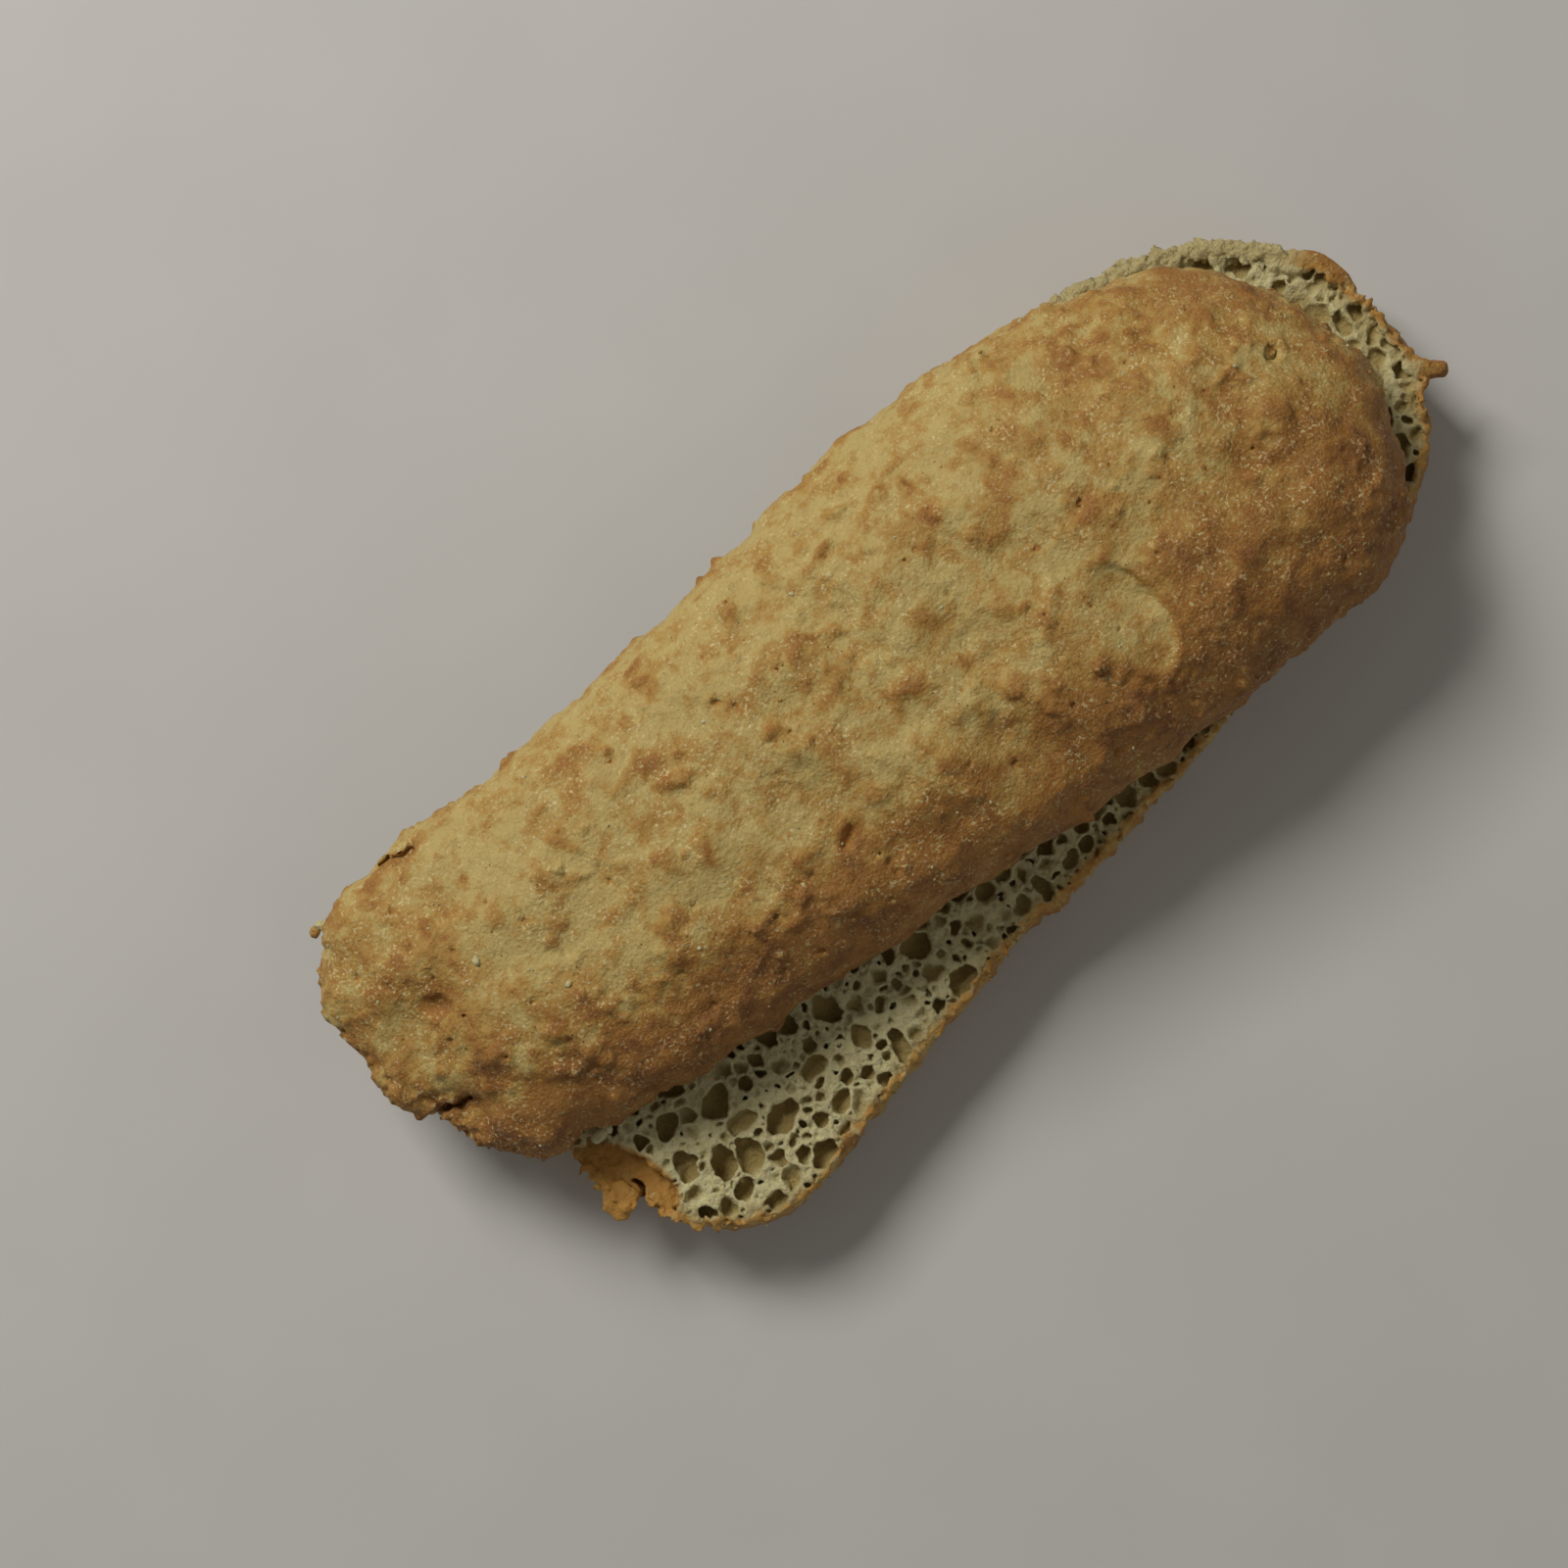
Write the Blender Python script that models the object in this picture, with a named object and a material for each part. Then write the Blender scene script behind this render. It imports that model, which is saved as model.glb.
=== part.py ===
"""A long crusty sandwich loaf, split level into a bottom half and a top half.

Lengths are in millimetres until the last step, which scales every point to metres.
The bottom half lies along +X on its flat base with the cut face up. The top half rests
on it with the cut face down, turned and shifted as the lid of a filled loaf lies.
Each half is first built in its own frame: length along X, cut plane at Z = 0 and the
crust rising above it. The bottom half is then turned over.
"""

import math
import random

import bpy
import numpy as np
from mathutils import Vector, geometry

MM = 0.001
CUT_HEIGHT = 21.5  # of the bottom half's cut face above its base
GAP = 0.3  # between the two cut faces
CUT_SWAY = 0.5  # rise and fall of the knife's path
EDGE_STEP = 3.7  # point spacing round a half's edge
EDGE_STEP_FINE = 1.7  # the same beside a tear
MERGE = 1e-4

# Outline of each half at its widest: distance along, right edge, left edge.
BOTTOM_STATIONS = (
    (-114.0, -14.0, 6.5),
    (-110.0, -24.5, 17.0),
    (-104.0, -33.5, 26.0),
    (-96.5, -39.3, 32.5),
    (-84.0, -40.6, 37.5),
    (-60.0, -39.3, 40.0),
    (-32.0, -38.8, 40.5),
    (0.0, -41.0, 41.0),
    (27.0, -41.5, 41.5),
    (60.0, -42.0, 41.6),
    (84.0, -42.0, 38.0),
    (98.0, -39.0, 31.5),
    (108.0, -32.0, 23.0),
    (115.5, -22.0, 11.5),
)
BOTTOM_TIPS = ((-115.5, -3.5), (118.0, -5.0))
TOP_STATIONS = (
    (-121.8, -3.5, 15.4),
    (-118.8, -12.5, 24.6),
    (-110.4, -27.3, 32.0),
    (-101.0, -33.2, 33.8),
    (-82.0, -35.6, 35.4),
    (-58.0, -38.0, 36.0),
    (-32.0, -39.0, 38.6),
    (-4.0, -41.0, 42.0),
    (24.0, -43.2, 44.4),
    (51.0, -44.0, 44.8),
    (74.0, -42.6, 41.6),
    (94.0, -40.5, 34.0),
    (106.5, -30.8, 23.4),
    (113.2, -18.5, 8.0),
)
TOP_TIPS = ((-122.8, 7.5), (115.4, -6.0))
TOP_MIDDLE = (-7.3, 14.6)
TOP_TURN = math.radians(-11.7)

# Crown of the top half above its cut: distance along, height.
TOP_CROWN = ((-124, 17.0), (-100, 22.0), (-60, 26.0), (0, 29.5), (60, 31.0), (100, 28.0), (117, 24.0))
# Reach of the rounded shoulder at the back end, front end, right side and left side.
TOP_SHOULDER = (32.0, 20.0, 27.0, 34.0)
TOP_BELLY = 6.0  # height of the widest line over the cut
TOP_BELLY_TUCK = 1.8  # how far the cut edge lies inside that line
BOTTOM_SHOULDER = (12.0, 10.0, 10.0, 10.0)
BOTTOM_BELLY = 9.0
BOTTOM_BELLY_TUCK = 2.4
TUCK_CURVE = 1.4  # how early the side wall bulges out to its widest line
WALL_LEVELS = (0.0, 0.3, 0.65, 1.0)  # of the side wall's rings, from the cut to the widest line
MARK_FADE = 0.35  # share of an edge mark that is gone at the widest line
SOFTENING = 0.6  # how far each round moves a roof point to its neighbours' mean height
ROOF_MARGIN = 0.6  # clear edge inside a ring before the roof's grid, in grid steps
LINING = (1.5, 0.55)  # width and sink of the band between the crust's edge and the crumb
RAGGED_EDGE = 0.55  # slight waviness of each half's edge
BASE_TRIM = 0.5  # cut off the bottom half's lowest skin to leave the flat base
# Broad lumps of the crust: seed, number of waves, shortest, longest, rise.
TOP_LUMPS = ((11, 26, 13, 34, 0.75), (12, 26, 8, 13, 0.35))
BOTTOM_LUMPS = ((21, 24, 11, 30, 0.6),)

# Tears and scabs on an edge: along, across, reach, outward push.
BOTTOM_EDGE_MARKS = (
    (-115.4, -12.2, 3.3, 3.9),
    (-112.8, -17.6, 2.4, -2.4),
    (-115.5, 1.0, 5.0, 0.6),
    (114.8, -25.2, 2.9, 3.2),
    (111.0, -28.4, 2.2, -2.2),
    (118.0, 3.0, 5.5, 1.6),
    (97.0, -40.0, 5.0, 1.4),
    (90.0, 36.5, 5.0, -1.6),
    (-68.0, -40.0, 5.0, -1.0),
)
TOP_EDGE_MARKS = (
    (-96.0, -34.0, 4.5, -2.4),
    (-108.5, -31.0, 8.0, 1.2),
    (-114.5, -23.5, 5.0, 1.2),
    (-95.2, 36.0, 3.6, 2.9),
    (-88.0, 37.0, 4.0, 1.0),
    (-104.0, 34.0, 5.0, 1.3),
    (-112.4, 31.0, 2.4, 2.4),
    (83.0, -44.0, 4.5, -1.0),
)
# Relief of the top crust: along, across, half length, half width, turn in degrees, rise.
TOP_SCABS = (
    (60.8, -10.3, 6.0, 4.5, 30, 1.5),
    (57.8, 2.6, 7.0, 4.0, -20, 1.4),
    (-21.9, 15.4, 6.0, 4.0, 10, 1.3),
    (-16.5, 25.5, 5.5, 4.0, 60, 1.2),
    (-80.1, -12.9, 6.5, 4.0, 0, 1.4),
    (-71.3, 10.9, 6.5, 4.5, 45, 1.3),
    (-59.2, -14.8, 7.0, 4.5, -30, 1.4),
    (84.0, 14.0, 13.0, 3.8, 55, 1.5),
    (75.0, 24.0, 12.0, 3.6, 50, 1.4),
    (95.0, 2.0, 11.0, 3.6, 60, 1.3),
    (20.0, 20.0, 10.0, 4.5, 35, 1.2),
    (-103.3, 6.0, 4.0, 4.0, 0, -2.2),
    (99.9, 6.8, 4.2, 3.4, 20, -1.8),
    (-20.9, -17.1, 4.5, 3.0, 30, -1.8),
    (-114.0, -13.5, 8.0, 2.8, -62, -3.2),
)
BLISTER = (47.0, -16.5, 12.3, 6.5, -90)  # along, across, half length, half width, turn
BLISTER_FLOOR = -0.9
BLISTER_RIM = 0.5
BLISTER_RIM_AT = 1.1
BLISTER_SLOPE = 0.6  # width of the slope inside the rim, as a share of the blister's size

# Large open cells of the bottom crumb: along, across, half length, half width, turn, depth.
BOTTOM_CELLS = (
    (-81.8, -24.0, 4.6, 3.2, 15, 3.4),
    (-91.5, -25.0, 4.0, 2.6, 60, 3.0),
    (-88.5, -13.5, 4.2, 3.0, 30, 3.0),
    (-71.5, -31.0, 2.8, 2.0, 10, 2.4),
    (-82.0, -33.6, 3.6, 2.1, 20, 2.6),
    (-37.4, -32.0, 3.6, 2.9, 0, 3.0),
    (-55.5, -31.0, 4.0, 2.2, 70, 2.6),
    (-13.6, -31.5, 3.2, 1.8, 80, 2.4),
    (106.0, -8.2, 6.5, 3.0, 60, 3.4),
    (101.5, -19.9, 5.5, 2.6, 75, 3.2),
    (94.5, -30.0, 4.5, 2.4, 35, 3.0),
    (-109.0, -4.0, 6.0, 2.0, 88, 4.6),
    (-102.5, -17.0, 3.8, 2.4, 50, 2.6),
    (-69.0, -21.0, 3.0, 2.2, 0, 2.2),
)

CELL_SIZE = (1.5, 3.1)  # half width of the seeded cells
CELL_STRETCH = 1.6  # longest cell against its width
CELL_WALL = 1.0  # least wall between two cells
CELL_TRIES = 4000
# Rings of a cell's wall: size, share of the depth, turn in point steps.
CELL_RINGS = ((1.0, 0.06, 0.0), (0.76, 0.7, 0.5))
LARGE_CELL = 3.4  # cells longer than this take ten sides in place of eight
CELL_CLEARANCE = 1.6  # from a cell's rim to the next point of the crumb's grid
CRUMB_LEVEL = (0.25, 0.2)  # mean depth and unevenness of the crumb between the cells

CRUST_COLOUR = (0.40, 0.22, 0.075, 1.0)
CRUST_BROWN = (0.34, 0.18, 0.060, 1.0)


def wave_field(seed, count, short, longest):
    """A smooth bumpy field, about -1 to 1, from seeded waves of the given lengths."""
    rng = random.Random(seed)
    vectors, phases = [], []
    for _ in range(count):
        turn, lift = rng.uniform(0, 2 * math.pi), rng.uniform(-1, 1)
        flat = math.sqrt(1 - lift * lift)
        number = 2 * math.pi / math.exp(rng.uniform(math.log(short), math.log(longest)))
        vectors.append((number * flat * math.cos(turn), number * flat * math.sin(turn), number * lift))
        phases.append(rng.uniform(0, 2 * math.pi))
    vectors, phases = np.array(vectors), np.array(phases)
    return lambda points: np.sin(points @ vectors.T + phases).sum(axis=1) / math.sqrt(count)


def round_loop(stations, tips):
    """A closed smooth curve: up the right side, round the front tip and back down the left."""
    right = [(x, r) for x, r, _ in stations]
    left = [(x, y) for x, _, y in reversed(stations)]
    knots = np.array([tips[0]] + right + [tips[1]] + left)
    before, after, beyond = np.roll(knots, 1, 0), np.roll(knots, -1, 0), np.roll(knots, -2, 0)
    curve = []
    for f in np.linspace(0, 1, 24, endpoint=False):
        curve.append(
            0.5 * (2 * knots + (after - before) * f
                   + (2 * before - 5 * knots + 4 * after - beyond) * f**2
                   + (3 * knots - before - 3 * after + beyond) * f**3)
        )
    return np.stack(curve, axis=1).reshape(-1, 2)


def spaced_loop(curve, marks):
    """The curve with even spacing, and closer points beside each mark."""
    steps = np.linalg.norm(np.roll(curve, -1, 0) - curve, axis=1)
    step = np.full(len(curve), EDGE_STEP)
    for x, y, reach, _ in marks:
        near = np.hypot(curve[:, 0] - x, curve[:, 1] - y) < reach + EDGE_STEP_FINE
        step[near] = EDGE_STEP_FINE
    travelled = np.concatenate([[0], np.cumsum(steps / step)])
    count = int(round(travelled[-1]))
    wanted = np.arange(count) * travelled[-1] / count
    closed = np.vstack([curve, curve[:1]])
    return np.stack([np.interp(wanted, travelled, closed[:, i]) for i in (0, 1)], axis=1)


def outward(loop, reach=2):
    """Unit normals of a counter-clockwise loop, averaged over a few neighbours."""
    along = np.roll(loop, -reach, 0) - np.roll(loop, reach, 0)
    normal = np.stack([along[:, 1], -along[:, 0]], axis=1)
    return normal / np.linalg.norm(normal, axis=1)[:, None]


def edge_push(loop, marks, seed):
    """How far each edge point moves outward: a slight raggedness and the named marks."""
    points = np.column_stack([loop, np.zeros(len(loop))])
    push = RAGGED_EDGE * wave_field(seed, 14, 7, 24)(points)
    for x, y, reach, amount in marks:
        away = np.hypot(loop[:, 0] - x, loop[:, 1] - y) / reach
        push += amount * np.exp(-1.6 * away**2)
    return push


def by_direction(normals, values):
    """Blends the back, front, right and left values by which way each normal faces."""
    x, y = normals[:, 0], normals[:, 1]
    weights = [np.minimum(x, 0) ** 2, np.maximum(x, 0) ** 2, np.minimum(y, 0) ** 2, np.maximum(y, 0) ** 2]
    return sum(w * v for w, v in zip(weights, values))


def dome(part):
    """Height fraction of a rounded shoulder, from 0 at its foot to 1 at its top."""
    part = np.clip(part, 0, 1)
    return np.sqrt(1 - (1 - part) ** 2)


def nearest(points, loop):
    """Distance to the loop and the index of the loop's nearest point."""
    start, side = loop, np.roll(loop, -1, 0) - loop
    from_start = points[:, None] - start[None]
    part = (from_start * side).sum(-1) / (side**2).sum(-1)
    foot = from_start - np.clip(part, 0, 1)[..., None] * side
    away = np.linalg.norm(foot, axis=-1)
    return away.min(axis=1), away.argmin(axis=1)


def inside(points, loop):
    """Which points lie inside the closed loop."""
    x, y = points[:, :1], points[:, 1:]
    ends = np.roll(loop, -1, 0)
    crosses = (loop[:, 1] > y) != (ends[:, 1] > y)
    rise = np.where(np.abs(ends[:, 1] - loop[:, 1]) < MERGE, MERGE, ends[:, 1] - loop[:, 1])
    at = loop[:, 0] + (y - loop[:, 1]) * (ends[:, 0] - loop[:, 0]) / rise
    return (crosses & (x < at)).sum(axis=1) % 2 == 1


def hex_grid(loop, step, margin, seed):
    """Slightly jittered points in a honeycomb, kept a margin inside the loop."""
    rng = np.random.default_rng(seed)
    low, high = loop.min(0), loop.max(0)
    rows = np.arange(low[1], high[1], step * math.sqrt(0.75))
    points = []
    for i, y in enumerate(rows):
        for x in np.arange(low[0] + (i % 2) * step / 2, high[0], step):
            points.append((x, y))
    points = np.array(points)
    points += rng.uniform(-0.12, 0.12, points.shape) * step
    points = points[inside(points, loop)]
    return points[nearest(points, loop)[0] > margin]


def filled(loop, points):
    """Triangles over a loop and the points inside it. Loop points keep their numbers."""
    everything = [Vector(p) for p in np.vstack([loop, points])]
    made = geometry.delaunay_2d_cdt(everything, [], [list(range(len(loop)))], 1, MERGE)
    number = [min(origin) for origin in made[3]]
    return [tuple(number[v] for v in face) for face in made[2]]


class Shell:
    """Points and triangles of one half as they are made."""

    def __init__(self):
        self.points, self.faces = np.zeros((0, 3)), []

    def add(self, plan, height):
        first = len(self.points)
        self.points = np.vstack([self.points, np.column_stack([plan, height])])
        return np.arange(first, len(self.points))

    def strip(self, low, high):
        """Two triangles between each pair of neighbours of two rings, facing outward."""
        for i in range(len(low)):
            j = (i + 1) % len(low)
            self.faces += [(low[i], low[j], high[j]), (low[i], high[j], high[i])]

    def fill(self, ring, inner, upward):
        """Fills a ring of this shell together with inner points of it."""
        ids = np.concatenate([ring, inner])
        for face in filled(self.points[ring, :2], self.points[inner, :2]):
            a, b, c = ids[list(face)]
            self.faces.append((a, b, c) if upward else (a, c, b))

    def soften(self, ids, rounds):
        """Averages the height of these points with their neighbours."""
        links = set()
        for a, b, c in self.faces:
            links |= {(a, b), (b, c), (c, a), (b, a), (c, b), (a, c)}
        start, end = np.array(sorted(links)).T
        count = np.bincount(start, minlength=len(self.points))
        for _ in range(rounds):
            total = np.bincount(start, self.points[end, 2], minlength=len(self.points))
            mean = total / np.maximum(count, 1)
            self.points[ids, 2] += SOFTENING * (mean[ids] - self.points[ids, 2])

    def normals(self):
        tri = np.array(self.faces)
        a, b, c = (self.points[tri[:, i]] for i in range(3))
        face = np.cross(b - a, c - a)
        total = np.zeros_like(self.points)
        for i in range(3):
            np.add.at(total, tri[:, i], face)
        return total / np.maximum(np.linalg.norm(total, axis=1), 1e-9)[:, None]


def side_wall(shell, belly, normals, push, half):
    """Rings from the cut edge out to the belly, and then up the shoulder."""
    rings = []
    tuck, rise = half["tuck"], half["belly"]
    for part in WALL_LEVELS:
        inset = tuck * (1 - dome(part) ** TUCK_CURVE)
        plan = belly + normals * (push * (1 - MARK_FADE * part) - inset)[:, None]
        rings.append(shell.add(plan, np.full(len(belly), rise * part)))
    shoulder = by_direction(normals, half["shoulder"])
    climb = half["crown"](belly) - rise
    for part in half["rings"]:
        fade = (1 - MARK_FADE) * (1 - part) ** 2
        plan = belly + normals * (push * fade - part * shoulder)[:, None]
        rings.append(shell.add(plan, rise + climb * dome(part)))
    for low, high in zip(rings, rings[1:]):
        shell.strip(low, high)
    return rings, shoulder


def roof(shell, belly, ring, shoulder, half):
    """Closes the crust inside the last ring, level with the shoulder's curve."""
    edge = shell.points[ring, :2]
    plan = hex_grid(edge, half["roof_step"], ROOF_MARGIN * half["roof_step"], half["seed"])
    away, closest = nearest(plan, belly)
    climb = half["crown"](plan) - half["belly"]
    inner = shell.add(plan, half["belly"] + climb * dome(away / shoulder[closest]))
    shell.fill(ring, inner, True)
    shell.soften(np.concatenate([ring, inner]), half["soften"])


def ellipse_reach(points, x, y, length, width, turn):
    """Distance from a turned ellipse's middle, where 1 is its edge."""
    c, s = math.cos(math.radians(turn)), math.sin(math.radians(turn))
    dx, dy = points[:, 0] - x, points[:, 1] - y
    return np.hypot((c * dx + s * dy) / length, (c * dy - s * dx) / width)


def lumps(points, layers):
    """Broad rise and fall of the crust."""
    return sum(rise * wave_field(*waves)(points) for *waves, rise in layers)


def top_relief(points):
    """Lumps, ridges, pits and the burst blister of the upper crust."""
    rise = lumps(points, TOP_LUMPS)
    for x, y, length, width, turn, amount in TOP_SCABS:
        rise += amount * np.exp(-1.2 * ellipse_reach(points, x, y, length, width, turn) ** 2)
    reach = ellipse_reach(points, *BLISTER)
    rise += BLISTER_FLOOR * np.clip((BLISTER_RIM_AT - reach) / BLISTER_SLOPE, 0, 1)
    rise += BLISTER_RIM * np.exp(-22 * (reach - BLISTER_RIM_AT) ** 2)
    return rise


def bottom_relief(points):
    """Soft lumps round the side of the lower crust."""
    return lumps(points, BOTTOM_LUMPS)


def crust(half):
    """The crust of one half, and the ring of its points along the cut."""
    shell = Shell()
    belly = spaced_loop(round_loop(half["stations"], half["tips"]), half["marks"])
    normals = outward(belly)
    push = edge_push(belly, half["marks"], half["seed"])
    rings, shoulder = side_wall(shell, belly, normals, push, half)
    roof(shell, belly, rings[-1], shoulder, half)
    rise = half["relief"](shell.points)
    fade = np.clip(shell.points[:, 2] / half["belly"], 0.25, 1)
    shell.points += shell.normals() * (rise * fade)[:, None]
    shell.points[rings[0], 2] = 0
    if half["flat"]:
        shell.points[:, 2] = np.minimum(shell.points[:, 2], half["depth"])
    return shell, rings[0]


def scattered_cells(loop, fixed, half):
    """The named cells and seeded smaller ones that fill the rest of the cut face."""
    rng = random.Random(half["seed"] + 5)
    low, high = loop.min(0), loop.max(0)
    cells = list(fixed)
    for _ in range(CELL_TRIES):
        if len(cells) >= half["cells"]:
            break
        size = rng.uniform(*CELL_SIZE)
        x, y = rng.uniform(low[0], high[0]), rng.uniform(low[1], high[1])
        length = size * rng.uniform(1.0, CELL_STRETCH)
        away = nearest(np.array([[x, y]]), loop)[0][0]
        if away < length + CELL_WALL or not inside(np.array([[x, y]]), loop)[0]:
            continue
        if all(math.hypot(x - c[0], y - c[1]) > length + c[2] + CELL_WALL for c in cells):
            cells.append((x, y, length, size, rng.uniform(0, 180), size * rng.uniform(0.8, 1.15)))
    return cells


def cell_points(cell):
    """Plan points and depths of one open cell: its rim, its wall and its floor."""
    x, y, length, width, turn, depth = cell
    c, s = math.cos(math.radians(turn)), math.sin(math.radians(turn))
    plan, sunk = [(x, y)], [depth]
    around = 10 if length > LARGE_CELL else 8
    for size, share, step in CELL_RINGS:
        for i in range(around):
            angle = 2 * math.pi * (i + step) / around
            u, v = size * length * math.cos(angle), size * width * math.sin(angle)
            plan.append((x + c * u - s * v, y + s * u + c * v))
            sunk.append(share * depth)
    return plan, sunk


def cut_face(shell, edge, half):
    """The open crumb inside the cut edge."""
    loop = shell.points[edge, :2]
    normals = outward(loop)
    width, sink = LINING
    lining = shell.add(loop - width * normals, np.full(len(loop), sink))
    shell.strip(lining, edge)
    inner_loop = shell.points[lining, :2]
    cells = scattered_cells(inner_loop, half["named_cells"], half)
    plan, sunk = [], []
    for cell in cells:
        points, depths = cell_points(cell)
        plan += points
        sunk += depths
    rest = hex_grid(inner_loop, half["cut_step"], 0.5 * half["cut_step"], half["seed"] + 1)
    for x, y, length, width, turn, _ in cells:
        reach = ellipse_reach(rest, x, y, length + CELL_CLEARANCE, width + CELL_CLEARANCE, turn)
        rest = rest[reach > 1]
    mean, uneven = CRUMB_LEVEL
    waves = wave_field(half["seed"] + 2, 12, 9, 20)
    level = mean + uneven * waves(np.column_stack([rest, np.zeros(len(rest))]))
    inner = shell.add(np.vstack([plan, rest]), np.concatenate([sunk, np.maximum(level, 0)]))
    shell.fill(lining, inner, False)


def placed(points, half):
    """Turns and shifts a half into the loaf, with both cut faces on one swaying plane."""
    x, y, z = points.T
    c, s = math.cos(half["turn"]), math.sin(half["turn"])
    world = np.column_stack([c * x - s * y + half["middle"][0], s * x + c * y + half["middle"][1], z])
    flat = world * (1, 1, 0)
    sway = CUT_SWAY * wave_field(31, 8, 60, 150)(flat)
    world[:, 2] = CUT_HEIGHT + half["side"] * (z + GAP / 2) + sway * (1 - z / half["depth"])
    return world


def body(name, half, material):
    """One half as a closed mesh object."""
    shell, edge = crust(half)
    cut_face(shell, edge, half)
    points = placed(shell.points, half)
    faces = [f if half["side"] > 0 else f[::-1] for f in shell.faces]
    mesh = bpy.data.meshes.new(name)
    mesh.from_pydata((points * MM).tolist(), [], [tuple(int(v) for v in f) for f in faces])
    mesh.materials.append(material)
    mesh.validate()
    thing = bpy.data.objects.new(name, mesh)
    bpy.context.scene.collection.objects.link(thing)
    return thing


def crust_material(name, colour):
    """Matt baked crust."""
    material = bpy.data.materials.new(name)
    material.use_nodes = True
    shader = material.node_tree.nodes["Principled BSDF"]
    shader.inputs["Base Color"].default_value = colour
    shader.inputs["Roughness"].default_value = 0.75
    return material


def top_crown(plan):
    """Height of the top half's crown above the cut at each plan point."""
    x, height = np.array(TOP_CROWN).T
    return np.interp(plan[:, 0], x, height)


def top_half():
    """Settings of the top half."""
    return {
        "stations": TOP_STATIONS, "tips": TOP_TIPS, "marks": TOP_EDGE_MARKS, "named_cells": (),
        "shoulder": TOP_SHOULDER, "belly": TOP_BELLY, "tuck": TOP_BELLY_TUCK, "crown": top_crown,
        "rings": (0.012, 0.05, 0.115, 0.2, 0.31), "roof_step": 4.9, "soften": 3, "relief": top_relief,
        "flat": False, "depth": 60.0, "cells": 46, "cut_step": 7.5, "seed": 3,
        "middle": TOP_MIDDLE, "turn": TOP_TURN, "side": 1,
    }


def bottom_half():
    """Settings of the bottom half."""
    depth = CUT_HEIGHT - GAP / 2
    return {
        "stations": BOTTOM_STATIONS, "tips": BOTTOM_TIPS, "marks": BOTTOM_EDGE_MARKS,
        "named_cells": BOTTOM_CELLS, "shoulder": BOTTOM_SHOULDER, "belly": BOTTOM_BELLY,
        "tuck": BOTTOM_BELLY_TUCK, "crown": lambda plan: np.full(len(plan), depth + BASE_TRIM),
        "rings": (0.07, 0.27, 0.55, 1.0), "roof_step": 7.0, "soften": 0, "relief": bottom_relief,
        "flat": True, "depth": depth, "cells": 80, "cut_step": 6.0, "seed": 4,
        "middle": (0.0, 0.0), "turn": 0.0, "side": -1,
    }


def rest_on_origin(things):
    """Shifts the loaf so that the middle of its base lies on the origin."""
    corners = np.array([v.co for thing in things for v in thing.data.vertices])
    low, high = corners.min(0), corners.max(0)
    shift = -np.array([(low[0] + high[0]) / 2, (low[1] + high[1]) / 2, low[2]])
    for thing in things:
        for vertex in thing.data.vertices:
            vertex.co += Vector(shift)
    print("shift mm", np.round(shift / MM, 3))


def main():
    for thing in list(bpy.data.objects):
        bpy.data.objects.remove(thing, do_unlink=True)
    top = body("loaf_top", top_half(), crust_material("upper_crust", CRUST_COLOUR))
    bottom = body("loaf_bottom", bottom_half(), crust_material("lower_crust", CRUST_BROWN))
    rest_on_origin([top, bottom])


main()
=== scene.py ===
"""Dressed model of a crusty sandwich loaf, split level, its top half laid askew on the bottom half.

Each half starts from its CAD solid as a distance field, in millimetres. Open crumb cells,
tears and pits are cut into that field, the skin is lumped and wrinkled, and the result
becomes one closed mesh. Per-point colours carry where crust, crumb, browning and flour lie,
and painted shade: on the top crust's flank away from the key light, in its small pits and in
the crumb's deeper cells.
"""

import random
from math import atan2, ceil, cos, exp, hypot, log, pi, radians, sin, sqrt

import bmesh
import bpy
import numpy as np
import openvdb as vdb
from mathutils import Matrix, Vector


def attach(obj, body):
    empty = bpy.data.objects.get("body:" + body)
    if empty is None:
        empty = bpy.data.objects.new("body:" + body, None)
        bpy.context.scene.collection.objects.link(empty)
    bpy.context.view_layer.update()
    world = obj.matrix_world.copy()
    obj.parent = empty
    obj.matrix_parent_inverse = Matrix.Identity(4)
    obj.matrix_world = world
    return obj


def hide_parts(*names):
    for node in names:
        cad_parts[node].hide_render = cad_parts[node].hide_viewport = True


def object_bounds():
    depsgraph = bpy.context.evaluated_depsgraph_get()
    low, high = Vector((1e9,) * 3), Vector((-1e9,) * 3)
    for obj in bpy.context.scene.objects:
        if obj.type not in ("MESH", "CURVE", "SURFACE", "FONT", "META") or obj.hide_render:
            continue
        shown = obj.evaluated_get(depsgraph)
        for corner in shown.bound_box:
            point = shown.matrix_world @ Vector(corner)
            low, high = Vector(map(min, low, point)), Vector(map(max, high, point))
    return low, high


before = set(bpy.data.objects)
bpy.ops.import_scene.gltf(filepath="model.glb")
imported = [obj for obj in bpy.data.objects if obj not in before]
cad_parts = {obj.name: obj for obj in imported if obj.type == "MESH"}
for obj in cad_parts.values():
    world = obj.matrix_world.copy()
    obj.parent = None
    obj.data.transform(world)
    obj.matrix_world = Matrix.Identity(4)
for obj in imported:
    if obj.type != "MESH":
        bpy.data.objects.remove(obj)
cad_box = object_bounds()

F32 = np.float32
MM = 0.001
VOXEL = 0.4
BAND = 5.2  # the fields hold distances up to this
PAD = 3.6  # room round the solid in its field
BLUR = 1.1  # that softens the solid's facets
FACES = 190000  # triangles of each half

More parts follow.
